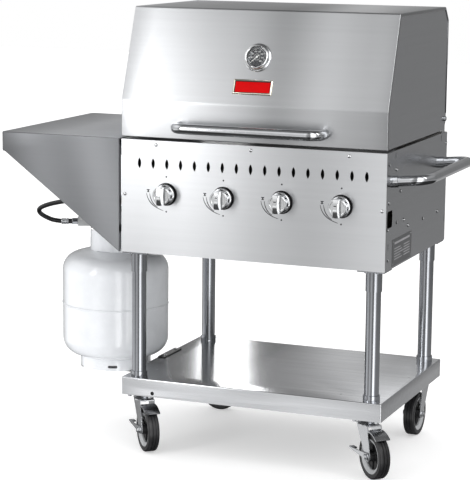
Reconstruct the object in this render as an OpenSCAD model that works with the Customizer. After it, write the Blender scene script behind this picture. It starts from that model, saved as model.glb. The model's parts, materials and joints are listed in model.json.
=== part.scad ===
// Gas barbecue grill on a four-castor cart, with a side shelf and a gas cylinder.
// Everything is drawn in a working frame: x = 0 in the middle of the cabinet, y = 0 on its front
// face, z = 0 on the floor. placed() then moves the origin to the middle of the footprint.

/* [Cabinet] */
// Width of the cabinet, the hood and the lower shelf
cab_w = 762; // [756:1:770]
// Depth of the cabinet
cab_d = 576; // [574:1:584]
// Height of the cabinet's bottom edge
cab_z0 = 566; // [562:1:568]
// Height of the cabinet's top edge
cab_z1 = 880; // [878:1:884]
// Thickness of the sheet metal
sheet = 1.5; // [1.2:0.1:1.6]

/* [Hood] */
// Height of the hood's bottom edge
hood_z0 = 887; // [887:1:890]
// Height of the crease above the front band
hood_crease_z = 987; // [980:1:1000]
// Height of the top
hood_top_z = 1238; // [1220:1:1260]
// How far the front slope leans back
hood_slope_run = 91; // [80:1:110]
// Depth of the hood
hood_d = 560; // [558:1:564]

/* [Handles] */
// Diameter of the handle tube
handle_d = 28; // [24:1:30]
// Distance between the legs of the hood handle
front_handle_w = 416; // [380:1:440]
// Reach of the hood handle's centreline
front_handle_out = 52; // [50:1:60]
// Height of the hood handle
front_handle_z = 922; // [915:1:930]
// Distance between the legs of the side handle
side_handle_w = 440; // [420:1:450]
// Reach of the side handle's centreline
side_handle_out = 97; // [85:1:110]

/* [Controls] */
// Distance between knobs
knob_pitch = 168; // [160:1:170]
// Height of the knob axes
knob_z = 734; // [732:1:736]
// Radius of the knob's rim
knob_r = 28.4; // [26:0.1:30]

/* [Vent slots] */
// Number of vent slots in the front panel
slot_count = 17; // [5:2:17]
// Height of a slot
slot_h = 29; // [20:1:34]
// Width of a slot
slot_w = 10; // [5:1:10]

/* [Side shelf] */
// Width of the side shelf
shelf_w = 365; // [345:1:380]
// Height of the side shelf's top
shelf_z = 882; // [880:1:884]
// Height of its outer lip
shelf_lip = 55; // [45:1:60]

/* [Cart] */
// Height of the lower shelf's top face
lower_z = 210; // [206:1:212]
// Diameter of the leg tubes
leg_d = 40; // [38:1:41]

/* [Castors] */
// Radius of the wheels
wheel_r = 62.5; // [60:0.5:62.5]
// Width of the tyres
wheel_w = 32; // [28:1:32]

/* [Gas cylinder] */
// Radius of the cylinder
tank_r = 155; // [152:1:155]
// Wall thickness of the cylinder
tank_wall = 2.6; // [2:0.1:3]

/* [Hidden] */
$fn = 64;
SMALL_FN = 32;

RUN_FIT = 0.05;                         // radial clearance of a shaft in its bore
HALF_W = cab_w / 2;                     // outer face of a side panel
IN_W = HALF_W - sheet;                  // inner face of a side panel
slot_pitch = 40.8;                      // distance between slots
slot_z = 816;                           // middle of the slots
handle_r = handle_d / 2;
handle_wall = 1.5;
handle_z = 802.5;                       // roots of the side handle
handle_y = 264;                         // middle of the side handle
handle_tilt = 5.4;

// The footprint, without the hose, sets the origin
shelf_gap = 5;
pan_pull = 6;                           // how far the drip pan's pull stands out at the back
x_low = -HALF_W - shelf_gap - shelf_w;
x_high = HALF_W + side_handle_out * cos(handle_tilt) + handle_r;
y_low = -front_handle_out - handle_r;
y_high = cab_d + pan_pull;
module placed() { translate([-(x_low + x_high) / 2, -(y_low + y_high) / 2, 0]) children(); }

// Control row
knob_x = [for (i = [0 : 3]) 6 + (i - 1.5) * knob_pitch];
knob_gap = 6;                           // panel to the back of a knob
knob_disc = 31;                         // back of a knob to its front disc
knob_len = 48;                          // back of a knob to the top of its grip
stem_r = 3;
plug_r = 7;
plug_y = 22;
stem_end = 38;

// Firebox
fire_x = 364;
fire_y0 = 97.5;
fire_y1 = 566;
fire_top = cab_z1 - sheet;
rail_z = 576;                           // underside of the rails that the drip pan slides on
pan_top = 598;
pan_clear_z = 604;                      // the sheets behind the drip pan start above it
grate_z = 853;
tent_z = 790;
burner_r = 19;
burner_wall = 1.2;
pipe_r = 13.4;
pipe_y = 40;
pipe_z = 702;

// Hood
hood_t = 1.2;
hood_lip = 8;
hood_corner = 35;
hood_hem = 14;
pivot_y = 543.5;
pivot_z = 920.4;
pivot_r = 4;
slope = atan(hood_slope_run / (hood_top_z - hood_crease_z));
hood_back_z = pivot_z + 15;             // the back sheet clears the hinge uprights when the hood is open
hood_path = [[hood_d, hood_back_z], [hood_d, hood_top_z - 38], [hood_d - 33, hood_top_z],
    [hood_slope_run, hood_top_z], [0, hood_crease_z], [0, hood_z0], [hood_hem, hood_z0]];
gauge_s = 133;                          // up the slope from the crease
gauge_h = 14;
badge_s = 51;
badge_size = [112, 42];

// Cart
leg_x = 342;
leg_y = [33, 536];
legs_at = [[-leg_x, leg_y[0]], [leg_x, leg_y[0]], [leg_x, leg_y[1]], [-leg_x, leg_y[1]]];
leg_r = leg_d / 2;
leg_wall = 1.5;
mount_z = 160;                          // underside of the lower shelf and of the legs' foot plates
lower_y = [-2, 574];
socket_drop = 58;
socket_plate = 4;
socket_bolts = [for (x = [-16, 16], y = [-20, 28]) [x, y]];
socket_hole_r = 3.1;
foot_plate = [76, 68, 3];
foot_bolts = [31, 27];
bracket_t = 3;

// Castors, a little inside their legs: the direction each one trails in
caster_inset = 10;
casters_at = [for (p = legs_at) [p[0] - sign(p[0]) * caster_inset,
    p[1] + (p[1] == leg_y[0] ? caster_inset : -caster_inset)]];
trail = 39;
trail_angle = [-48, -44, -91, -5];
fork_x = [-30, 34];
shield_r = 68;
pedal_x = [-100, -80];
pedal_z = [1, 5];
axle_r = 6;
plate_t = 3;
race_z = 144.3;
crown_z = [141, 144];
fork_in = 19.5;
fork_t = 2.5;

// Gas cylinder, the same above and below its seam
tank_at = [-525, 265];
tank_mid = 362;
tank_side = 100;
knuckle = 50;
crown_c = tank_r - knuckle;
crown_h = 66;
crown_r = (pow(crown_c, 2) + pow(crown_h, 2) - pow(knuckle, 2)) / (2 * (crown_h - knuckle));
foot_r = 103;
foot_z = 176;
collar_r = 74;
collar_top = 628;
collar_window = 580;
grip_z = 579;
outlet_angle = 205;
outlet_z = 602;
outlet_len = 45;
regulator_end = 110;                    // from the cylinder's axis
ferrule_r = 8.6;
collar_t = 3;

// Gas hose: hand-chosen points from the manifold fitting to the regulator fitting
hose_r = 6.5;
HOSE_SIDES = 12;
hose_route = [[-440, 40, 702], [-466, 41, 701], [-492, 45, 698], [-518, 52, 695], [-544, 60, 691],
    [-570, 69, 687], [-596, 77, 682], [-622, 84, 676], [-648, 89, 669], [-673, 97, 660],
    [-693, 111, 650], [-706, 131, 639], [-710, 152, 627], [-704, 173, 615], [-690, 188, 606],
    [-668, 198, 602]];

// Screws, as places on the sheet they hold
screw_r = 2;
screw_hole_r = screw_r + 0.1;
flange_x = 370;                         // screws that go through the side panels' flanges
front_screws = [[-277, 868], [0, 868], [277, 868], [-flange_x, 728], [flange_x, 728]];
back_screw_z = [620, 866];
side_screws = [[23, 847.5], [84, 829], [126, 767], [25, 746], [162.5, 684], [98, 686], [202.5, 663],
    [347, 661], [492, 660], [16, 677], [26, 594], [570, 848]];
back_screws = [for (x = [-flange_x, -120, 120, flange_x], z = back_screw_z) [x, z]];
bracket_screws = [[-372, 275], [-372, 357]];
hook_slots = [[77, 867], [515, 867], [563, 630], [24, 630]];
hand_hole = [[11, 680], [57, 725]];

// ---- helpers ----------------------------------------------------------------------------------

// A block between two corners
module span(a, b) { translate(a) cube(b - a); }

// A flat shape given as (y, z), thickened along +X from x
module in_yz(x, t) { translate([x, 0, 0]) rotate([90, 0, 90]) linear_extrude(t) children(); }

// A flat shape given as (x, z), thickened along +Y from y
module in_xz(y, t) { translate([0, y + t, 0]) rotate([90, 0, 0]) linear_extrude(t) children(); }

// The same thing on both sides of the cabinet
module both_sides() { children(); mirror([1, 0, 0]) children(); }

function unit(v) = v / norm(v);
function left(v) = [-v[1], v[0]];
function mitre(a, b, c, t) =
    let (n1 = left(unit(b - a)), n2 = left(unit(c - b)), m = unit(n1 + n2)) b + m * t / (m * n1);

// A path moved t to its left, with mitred corners
function beside(p, t) = [for (i = [0 : len(p) - 1])
    i == 0 ? p[0] + t * left(unit(p[1] - p[0]))
    : i == len(p) - 1 ? p[i] + t * left(unit(p[i] - p[i - 1]))
    : mitre(p[i - 1], p[i], p[i + 1], t)];

// The section of a sheet of thickness t folded along a path
module folded(p, t) {
    q = beside(p, t);
    polygon(concat(p, [for (i = [len(q) - 1 : -1 : 0]) q[i]]));
}

module rounded_rect(a, b, r) {
    translate([a[0] + r, a[1]]) square([b[0] - a[0] - 2 * r, b[1] - a[1]]);
    translate([a[0], a[1] + r]) square([b[0] - a[0], b[1] - a[1] - 2 * r]);
    for (x = [a[0] + r, b[0] - r], y = [a[1] + r, b[1] - r]) translate([x, y]) circle(r);
}

// A lens-shaped slot: two equal arcs
module slot_2d() {
    arc_r = (pow(slot_h / 2, 2) + pow(slot_w / 2, 2)) / slot_w;
    intersection() {
        translate([arc_r - slot_w / 2, 0]) circle(arc_r);
        translate([slot_w / 2 - arc_r, 0]) circle(arc_r);
    }
}

module ring_2d(r, t) { difference() { circle(r); circle(r - t); } }

// A small round bar, for pins, screws and their holes
module pin(r, h) { cylinder(r = r, h = h, $fn = SMALL_FN); }

module tube(r, t, h) { linear_extrude(h) ring_2d(r, t); }

// Head and shank along +Z, with the head standing on z = 0
module screw() {
    pin(4, 1.6);
    translate([0, 0, -5]) pin(screw_r, 5.5);
}

// A bent tube: the run along X at y = 0, both legs towards +Y, ending at y = depth
module bent_handle(w, depth, bend) {
    translate([-w / 2 + bend, 0, 0]) rotate([0, 90, 0]) tube(handle_r, handle_wall, w - 2 * bend);
    both_sides() {
        translate([w / 2 - bend, bend, 0]) rotate([0, 0, -90]) rotate_extrude(angle = 90)
            translate([bend, 0]) ring_2d(handle_r, handle_wall);
        translate([w / 2, bend, 0]) rotate([-90, 0, 0]) tube(handle_r, handle_wall, depth - bend);
    }
}

// Local +Z stands out of the hood's front slope, local +Y runs up it
module on_slope(x, s) {
    translate([x, s * sin(slope), hood_crease_z + s * cos(slope)]) rotate([90 - slope, 0, 0]) children();
}

// ---- cabinet ----------------------------------------------------------------------------------

// One folded sheet, with a ledge along its top and a return along its bottom between the legs
module front_panel() {
    ledge_y = fire_y0 + sheet;
    bottom_return = 20;
    return_inset = 60;
    color("gainsboro") {
        in_xz(0, sheet) difference() {
            translate([-HALF_W, cab_z0]) square([cab_w, cab_z1 - cab_z0]);
            for (i = [0 : slot_count - 1])
                translate([(i - (slot_count - 1) / 2) * slot_pitch, slot_z]) slot_2d();
            for (x = knob_x) translate([x, knob_z]) circle(plug_r);
            for (s = front_screws) translate(s) circle(screw_hole_r, $fn = SMALL_FN);
        }
        span([-IN_W, 0, fire_top], [IN_W, ledge_y, cab_z1]);
        span([-IN_W + return_inset, 0, cab_z0], [IN_W - return_inset, bottom_return, cab_z0 + sheet]);
    }
}

// The right-hand panel; the left-hand one is its mirror image
module side_panel() {
    flange = 18;
    floor_w = 60;
    flange_x0 = IN_W - flange;
    difference() {
        union() {
            in_yz(IN_W, sheet) difference() {
                translate([sheet, cab_z0]) square([cab_d - sheet, cab_z1 - cab_z0]);
                for (s = side_screws) translate(s) circle(screw_hole_r, $fn = SMALL_FN);
                for (s = hook_slots) translate(s - [2, 8]) square([4, 16]);
                rounded_rect(hand_hole[0], hand_hole[1], 8);
            }
            span([flange_x0, sheet, cab_z0 + sheet], [IN_W, 2 * sheet, fire_top]);
            span([IN_W - floor_w, sheet, cab_z0], [IN_W, cab_d - sheet, cab_z0 + sheet]);
            span([flange_x0, cab_d - 2 * sheet, cab_z0 + sheet], [IN_W, cab_d - sheet, fire_top]);
        }
        translate([flange_x, 0, 728]) rotate([-90, 0, 0]) pin(screw_hole_r, 10);
        for (z = back_screw_z) translate([flange_x, cab_d - 10, z]) rotate([-90, 0, 0])
            pin(screw_hole_r, 12);
        for (y = leg_y, b = socket_bolts) translate([leg_x + b[0], y + b[1], cab_z0 - 1])
            pin(socket_hole_r, 4);
    }
}
module side_panel_right() { color("silver") side_panel(); }
module side_panel_left() { color("silver") mirror([1, 0, 0]) side_panel(); }

// Starts above the drip pan, which slides out beneath it
module back_panel() {
    vent_pitch = 48;
    color("silver") in_xz(cab_d - sheet, sheet) difference() {
        translate([-IN_W, pan_clear_z]) square([2 * IN_W, cab_z1 - pan_clear_z]);
        for (i = [-6 : 6], z = [700, 790]) translate([i * vent_pitch, z]) slot_2d();
        for (s = back_screws) translate(s) circle(screw_hole_r, $fn = SMALL_FN);
    }
}

// Inner box with ledges for the grates and tents, rails for the pan, and holes for the burners
module firebox_liner() {
    in_x = fire_x - sheet;
    rail = 14.5;
    rest_z = knob_z - burner_r - 0.5;
    color("dimgray") difference() {
        union() {
            both_sides() {
                span([in_x, fire_y0, rail_z], [fire_x, fire_y1, fire_top]);
                span([fire_x, fire_y0, fire_top - sheet], [IN_W, cab_d - 2 * sheet, fire_top]);
                span([in_x - rail, fire_y0, rail_z], [in_x, fire_y1, rail_z + sheet]);
            }
            span([-in_x, fire_y0, pan_top + 2], [in_x, fire_y0 + sheet, fire_top]);
            span([-in_x, fire_y1 - sheet, pan_clear_z], [in_x, fire_y1, fire_top]);
            for (z = [grate_z, tent_z], d = z == grate_z ? 18 : 12) {
                span([-in_x, fire_y0 + sheet, z - sheet], [in_x, fire_y0 + sheet + d, z]);
                span([-in_x, fire_y1 - sheet - d, z - sheet], [in_x, fire_y1 - sheet, z]);
            }
            span([-in_x, fire_y1 - 26, rest_z - sheet], [in_x, fire_y1 - sheet, rest_z]);
        }
        for (x = knob_x) translate([x, fire_y0 - 1, knob_z]) rotate([-90, 0, 0])
            cylinder(r = burner_r + 0.5, h = 4);
        both_sides() span([372, 526, fire_top - 3], [HALF_W, 562, cab_z1]);
    }
}

// A shallow tray with a folded pull at its back
module drip_pan() {
    x = 360;
    y0 = fire_y0 + sheet + 2;
    y1 = fire_y1 - 3;
    z0 = rail_z + sheet + 0.5;
    pull_x = 150;
    pull_z = pan_top - 6;
    pull_y = cab_d + pan_pull;
    color("darkgray") {
        difference() {
            span([-x, y0, z0], [x, y1, pan_top]);
            span([-x + sheet, y0 + sheet, z0 + sheet], [x - sheet, y1 - sheet, pan_top + 1]);
        }
        span([-pull_x, y1 - sheet, pull_z], [pull_x, pull_y, pull_z + sheet]);
        span([-pull_x, pull_y - sheet, pull_z - 10], [pull_x, pull_y, pull_z]);
    }
}

module sheet_screws() {
    color("lightgray") {
        for (s = front_screws) translate([s[0], 0, s[1]]) rotate([90, 0, 0]) screw();
        for (s = back_screws) translate([s[0], cab_d, s[1]]) rotate([-90, 0, 0]) screw();
        both_sides() for (s = side_screws) translate([HALF_W, s[0], s[1]]) rotate([0, 90, 0]) screw();
        for (p = bracket_screws) translate([p[0], p[1], lower_z + bracket_t]) screw();
    }
}

module rating_plate() {
    color("dimgray") {
        span([HALF_W, 62, 571], [HALF_W + 0.8, 237, 643]);
        for (y = [68, 231], z = [577, 637]) translate([HALF_W + 0.8, y, z]) rotate([0, 90, 0])
            pin(2.2, 0.8);
    }
}

// ---- gas train --------------------------------------------------------------------------------

module manifold() {
    color("darkkhaki") difference() {
        union() {
            translate([-340, pipe_y, pipe_z]) rotate([0, 90, 0]) tube(pipe_r, 2.6, 680);
            translate([340, pipe_y, pipe_z]) rotate([0, 90, 0]) cylinder(r = 16, h = 16);
            translate([-352, pipe_y, pipe_z]) rotate([0, 90, 0]) tube(16, 5.2, 12);
            translate([-398, pipe_y, pipe_z]) rotate([0, 90, 0]) tube(11, 5, 46);
        }
        for (x = knob_x) translate([x, pipe_y, pipe_z]) pin(6.1, 20);
    }
}

module gas_valves() {
    color("goldenrod") for (x = knob_x) translate([x, 0, 0]) {
        difference() {
            union() {
                span([-13, 18, knob_z - 14], [13, 64, knob_z + 14]);
                translate([0, 60, knob_z]) rotate([-90, 0, 0]) pin(5, 34);
                translate([0, pipe_y, 711]) pin(6, 12);
            }
            translate([0, 17, knob_z]) rotate([-90, 0, 0]) cylinder(r = plug_r + RUN_FIT, h = 43);
        }
    }
}

module burners() {
    color("gray") for (x = knob_x) translate([x, 84, knob_z]) rotate([-90, 0, 0]) difference() {
        cylinder(r = burner_r, h = 462);
        translate([0, 0, -1]) cylinder(r = burner_r - burner_wall, h = 460);
    }
}

module heat_tents() {
    color("dimgray") for (x = knob_x) translate([x, 0, tent_z]) in_xz(fire_y0 + sheet + 2, 460)
        folded([[60, 0], [0, 34], [-60, 0]], -sheet);
}

module cooking_grates() {
    rods = 10;
    part_w = (2 * fire_x - 2 * sheet - 5) / 4;
    rod_r = 3.5;
    y0 = fire_y0 + sheet + 2;
    y1 = fire_y1 - sheet - 2;
    color("gray") for (i = [0 : 3]) translate([(i - 1.5) * (part_w + 1), 0, 0]) {
        for (k = [0 : rods - 1]) translate([(k - (rods - 1) / 2) * part_w / rods, y0, grate_z + 10.5])
            rotate([-90, 0, 0]) pin(rod_r, y1 - y0);
        for (y = [y0 + 4, (y0 + y1) / 2, y1 - 10])
            span([-part_w / 2, y, grate_z], [part_w / 2, y + 6, grate_z + 10]);
    }
}

// ---- controls ---------------------------------------------------------------------------------

// Along +Z out of the panel: rim, skirt, disc and grip, on a stem that reaches into the valve
module knob() {
    grip_w = 11;
    color("silver") {
        difference() {
            union() {
                rotate_extrude() polygon([[0, 0], [knob_r, 0], [knob_r, 9], [25, knob_disc], [0, knob_disc]]);
                intersection() {
                    translate([-grip_w / 2, -26, 20]) cube([grip_w, 52, knob_len - 20]);
                    cylinder(r = 26, h = knob_len);
                }
            }
            translate([0, 0, -1]) pin(stem_r, 25);
        }
        translate([0, 0, -stem_end - knob_gap]) pin(stem_r, stem_end + knob_gap + 24);
    }
}
module on_panel(i) { translate([knob_x[i], 0, knob_z]) rotate([90, 0, 0]) children(); }
module knob_at(i) { on_panel(i) translate([0, 0, knob_gap]) knob(); }

// The turning cone of a valve, bored for the knob's stem
module valve_plug(i) {
    color("darkgoldenrod") on_panel(i) translate([0, 0, -plug_y - 36]) difference() {
        cylinder(r = plug_r, h = 36);
        translate([0, 0, 12]) pin(stem_r + RUN_FIT, 26);
    }
}

module knob_bezels() {
    color("black") for (i = [0 : 3]) on_panel(i) tube(30, 22, 2);
}

// ---- hood -------------------------------------------------------------------------------------

module pivot_hole(r) {
    translate([0, pivot_y, pivot_z]) rotate([0, 90, 0]) pin(r, HALF_W + 10);
}

module hood_skin() {
    color("gainsboro") difference() {
        union() {
            in_yz(-HALF_W, cab_w) folded(hood_path, hood_t);
            both_sides() in_yz(HALF_W - hood_t, hood_t) folded(hood_path, hood_lip);
        }
        on_slope(0, gauge_s) translate([0, 0, -10]) pin(5.1, 20);
        both_sides() translate([front_handle_w / 2, -5, front_handle_z]) rotate([-90, 0, 0])
            pin(4.1, 10);
    }
}

module hood_sides() {
    inner = beside(hood_path, hood_t);
    r = hood_corner - hood_t;
    centre = [hood_d - hood_corner, hood_z0 + hood_corner];
    color("silver") both_sides() difference() {
        union() {
            in_yz(HALF_W - 2 * hood_t, hood_t) {
                polygon(concat([centre + [r, 0]], inner, [centre - [0, r]]));
                translate(centre) circle(r);
            }
            span([HALF_W - 14, 20, hood_z0 + hood_t], [HALF_W - 2 * hood_t, 500, hood_z0 + 2 * hood_t]);
        }
        pivot_hole(pivot_r + RUN_FIT);
    }
}

module hood_handle() {
    color("whitesmoke") {
        translate([0, -front_handle_out, front_handle_z]) bent_handle(front_handle_w, front_handle_out, 35);
        both_sides() translate([front_handle_w / 2, 0, front_handle_z]) rotate([-90, 0, 0]) {
            translate([0, 0, -8]) cylinder(r = handle_r - handle_wall, h = 8);
            pin(4, 8);
            translate([0, 0, hood_t]) cylinder(r = 8, h = 6, $fn = 6);
        }
    }
}

module thermometer_case() {
    color("silver") on_slope(0, gauge_s) {
        rotate_extrude() polygon([[0, 0], [39.5, 0], [39.5, 3], [31.5, gauge_h], [28, gauge_h],
            [27, gauge_h - 7], [0, gauge_h - 7]]);
        translate([0, 0, -60]) pin(5, 61);
        translate([0, 0, -hood_t - 7]) cylinder(r = 10, h = 7, $fn = 6);
    }
}

module thermometer_dial() {
    color("black") on_slope(0, gauge_s) translate([0, 0, gauge_h - 7]) difference() {
        cylinder(r = 26.5, h = 1);
        translate([0, 0, -1]) pin(1.05, 3);
    }
}

module thermometer_needle() {
    color("white") on_slope(0, gauge_s) translate([0, 0, gauge_h - 5.4]) rotate([0, 0, 135]) {
        pin(3, 1.4);
        translate([0, 0, -1.4]) pin(1, 2);
        linear_extrude(0.8) polygon([[-1.4, -7], [1.4, -7], [0.5, 21], [-0.5, 21]]);
    }
}

module thermometer_glass() {
    color("azure", 0.4) on_slope(0, gauge_s) translate([0, 0, gauge_h - 2.2]) cylinder(r = 26.8, h = 1.6);
}

// A blank enamel plate in a bevelled frame
module badge() {
    border = 5;
    half = badge_size / 2;
    on_slope(-3, badge_s) {
        color("silver") linear_extrude(4) difference() {
            translate(-half) square(badge_size);
            translate(-half + [border, border]) square(badge_size - 2 * [border, border]);
        }
        color("firebrick") linear_extrude(3) translate(-half + [border, border])
            square(badge_size - 2 * [border, border]);
    }
}

// Uprights inside the side panels, with the bolts that the hood swings on
module hinge_brackets() {
    x0 = 375.2;
    x1 = 378.2;
    color("silver") both_sides() {
        difference() {
            union() {
                in_yz(x0, x1 - x0) {
                    translate([pivot_y - 13, 800]) square([26, pivot_z - 800]);
                    translate([pivot_y, pivot_z]) circle(13);
                }
                span([x1, pivot_y - 13, 800], [IN_W, pivot_y + 13, 870]);
            }
            pivot_hole(pivot_r);
        }
        translate([x0 - 7, pivot_y, pivot_z]) rotate([0, 90, 0]) {
            cylinder(r = 7, h = 7, $fn = 6);
            pin(pivot_r, HALF_W + 1 - x0 + 7);
            translate([0, 0, HALF_W - hood_t + 0.3 - x0 + 7]) pin(7, 5);
        }
    }
}

// ---- side shelf and side handle ---------------------------------------------------------------

module side_shelf() {
    x0 = x_low;
    x1 = -HALF_W - shelf_gap;
    y0 = -8;
    y1 = 568;
    lip_z = shelf_z - shelf_lip;
    round_r = 10;
    hem = 15;
    color("silver") {
        difference() {
            translate([0, 0, lip_z]) linear_extrude(shelf_lip) rounded_rect([x0, y0], [x1 + 30, y1], round_r);
            translate([0, 0, lip_z - 1]) linear_extrude(shelf_lip + 1 - sheet)
                rounded_rect([x0 + sheet, y0 + sheet], [x1 + 50, y1 - sheet], round_r - sheet);
            span([x1, y0 - 1, lip_z - 1], [x1 + 60, y1 + 1, shelf_z + 1]);
        }
        for (y = [y0, y1 - sheet])
            in_xz(y, sheet) polygon([[x1, lip_z], [x1, cab_z0], [x0 + round_r, lip_z]]);
        for (y = [y0 + sheet, y1 - sheet - hem]) {
            in_xz(y, hem) folded([[x1, cab_z0], [x0 + round_r, lip_z]], -sheet);
            span([x1 - sheet, y, cab_z0 + 4], [x1, y + hem, shelf_z - sheet]);
        }
        for (s = hook_slots) translate([0, s[0], s[1]]) span([x1 - sheet, -1.5, -6], [-IN_W + 4, 1.5, 6]);
        span([x1 - sheet, y0 + sheet, shelf_z - 20], [x1, y1 - sheet, shelf_z - sheet]);
        span([x1 - sheet, y0 + sheet, 620], [x1, 28, 640]);
    }
}

module side_handle() {
    color("whitesmoke") difference() {
        translate([HALF_W, handle_y, handle_z]) rotate([0, -handle_tilt, 0])
            translate([side_handle_out, 0, 0]) rotate([0, 0, 90]) {
                bent_handle(side_handle_w, side_handle_out + 4, 45);
                both_sides() translate([side_handle_w / 2, side_handle_out - 20, 0]) rotate([-90, 0, 0])
                    tube(16.5, 16.5 - handle_r, 24);
            }
        span([HALF_W - 20, 0, handle_z - 60], [HALF_W, cab_d, handle_z + 60]);
    }
}

// ---- cart -------------------------------------------------------------------------------------

module lower_shelf() {
    holes = [[-323, 116], [-259, 66], [-330, 512], [-266, 563], [243, 552], [305, 495], [362, 318],
        [246, 62]];
    color("silver") difference() {
        span([-HALF_W, lower_y[0], mount_z], [HALF_W, lower_y[1], lower_z]);
        span([-IN_W, lower_y[0] + sheet, mount_z - 1], [IN_W, lower_y[1] - sheet, lower_z - sheet]);
        for (p = legs_at) translate([p[0], p[1], lower_z - 5]) cylinder(r = leg_r + 0.2, h = 10);
        for (p = holes) translate([p[0], p[1], lower_z - 5]) pin(3, 10);
        for (p = bracket_screws) translate([p[0], p[1], lower_z - 5]) pin(screw_hole_r, 10);
        translate([-286, lower_y[0] - 1, 170.5]) rotate([-90, 0, 0]) cylinder(r = 5.5, h = 5);
    }
}

module bolt_grid() {
    for (x = [-1, 1], y = [-1, 1]) translate([x * foot_bolts[0], y * foot_bolts[1], 0]) children();
}

// A plate as wide and deep as a leg's foot, centred, with its top at z
module foot_sized_plate(z, t) {
    translate([-foot_plate[0] / 2, -foot_plate[1] / 2, z - t]) cube([foot_plate[0], foot_plate[1], t]);
}

module legs() {
    foot_t = foot_plate[2];
    tube_top = cab_z0 - socket_plate - 1 - mount_z;
    color("whitesmoke") {
        for (p = casters_at) translate([p[0], p[1], mount_z]) difference() {
            foot_sized_plate(foot_t, foot_t);
            translate([0, 0, -1]) bolt_grid() pin(3.6, 5);
        }
        for (p = legs_at) translate([p[0], p[1], mount_z + foot_t])
            tube(leg_r, leg_wall, tube_top - foot_t);
    }
}

// The sleeve and plate that hold a leg under the cabinet, and the collar where it meets the shelf
module leg_sockets() {
    sleeve_r = leg_r + 2.25;
    sleeve_z = cab_z0 - socket_drop;
    color("lightgray") for (p = legs_at) translate([p[0], p[1], 0]) {
        translate([0, 0, sleeve_z]) tube(sleeve_r, sleeve_r - leg_r - 0.1, socket_drop - socket_plate);
        difference() {
            span([-38, -30, cab_z0 - socket_plate], [37, 38, cab_z0]);
            for (b = socket_bolts) translate([b[0], b[1], cab_z0 - 9]) pin(socket_hole_r, 10);
        }
        for (b = socket_bolts) translate([b[0], b[1], cab_z0 - socket_plate - 3]) {
            pin(5, 3);
            pin(3, socket_plate + 3 + sheet + 5);
            translate([0, 0, socket_plate + 3 + sheet]) cylinder(r = 5, h = 4, $fn = 6);
        }
        translate([0, 0, lower_z]) tube(leg_r + 3, 2.9, 15);
    }
}

// Screwed to the shelf's edge; its tongue carries the cylinder's foot ring
module tank_bracket() {
    t = bracket_t;
    web_x = -HALF_W - t;
    tongue_y = [196, 286];
    back_y = 377;
    color("black") {
        difference() {
            span([web_x, 255, lower_z], [-362, back_y, lower_z + t]);
            for (p = bracket_screws) translate([p[0], p[1], lower_z - 5]) pin(screw_hole_r, 10);
        }
        span([web_x, tongue_y[0], foot_z - t], [-HALF_W, back_y, lower_z]);
        span([tank_at[0], tongue_y[0], foot_z - t], [web_x, tongue_y[1], foot_z]);
        intersection() {
            span([tank_at[0] - foot_r, tongue_y[0], foot_z - t], [tank_at[0], tongue_y[1], foot_z]);
            at_tank(foot_z - t) cylinder(r = foot_r, h = t);
        }
        // Rim inside the foot ring, which centres the cylinder
        at_tank(foot_z) difference() {
            cylinder(r = foot_r - 4, h = 8);
            translate([0, 0, -1]) cylinder(r = foot_r - 7, h = 10);
            for (a = [90, 270]) rotate([0, 0, a]) span([0, -foot_r * 0.87, -1], [foot_r, foot_r * 0.87, 9]);
        }
    }
}

// ---- castors ----------------------------------------------------------------------------------

// Fixed plate, race and kingpin of each castor, with its four bolts
module caster_plates() {
    color("lightgray") for (p = casters_at) translate([p[0], p[1], 0]) {
        difference() {
            foot_sized_plate(mount_z, plate_t);
            translate([0, 0, mount_z - plate_t - 1]) bolt_grid() pin(3.6, 5);
        }
        rotate_extrude() polygon([[0, race_z], [26, race_z], [28, race_z + 4], [22, mount_z - plate_t],
            [0, mount_z - plate_t]]);
        translate([0, 0, 134]) cylinder(r = axle_r, h = race_z - 134);
        translate([0, 0, 134]) cylinder(r = 10, h = crown_z[0] - 0.3 - 134);
        translate([0, 0, mount_z - plate_t - 5]) bolt_grid() {
            pin(3.5, 12);
            cylinder(r = 6, h = 5, $fn = 6);
            translate([0, 0, 5 + plate_t + foot_plate[2]]) cylinder(r = 6, h = 5, $fn = 6);
        }
    }
}

// Places a castor part under its kingpin, trailing in its own direction
module at_caster(i) {
    translate([casters_at[i][0], casters_at[i][1], 0]) rotate([0, 0, trail_angle[i]]) children();
}

// Along the axle, which is the local Y axis through the wheel's centre
module on_axle(y) { translate([trail, y, wheel_r]) rotate([-90, 0, 0]) children(); }

module caster_fork(i) {
    out = fork_in + fork_t;
    color("lightgray") at_caster(i) {
        difference() {
            union() {
                translate([0, 0, crown_z[0]]) linear_extrude(crown_z[1] - crown_z[0]) {
                    circle(28);
                    translate([fork_x[0], -out]) square([fork_x[1] - fork_x[0], 2 * out]);
                }
                for (y = [-out, fork_in]) in_xz(y, fork_t) {
                    polygon([[fork_x[0], crown_z[1]], [fork_x[1], crown_z[1]], [trail + 11, wheel_r + 5],
                        [trail - 14, wheel_r - 2]]);
                    translate([trail, wheel_r]) circle(12.5);
                }
                // Shield over the tread, on the braked castors
                if (i < 2) in_xz(-out, 2 * out) translate([trail, wheel_r]) intersection() {
                    ring_2d(shield_r + 2.5, 2.5);
                    polygon([[0, 0], [95, 113], [-20, 113]]);
                }
            }
            translate([0, 0, crown_z[0] - 5]) cylinder(r = axle_r + RUN_FIT, h = 12);
            on_axle(-out - 1) cylinder(r = axle_r, h = 2 * out + 2);
        }
        on_axle(-out - 12) cylinder(r = axle_r, h = 2 * out + 20);
        on_axle(-out - 10) cylinder(r = 9, h = 6, $fn = 6);
        on_axle(out) cylinder(r = 9, h = 6, $fn = 6);
    }
}

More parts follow.
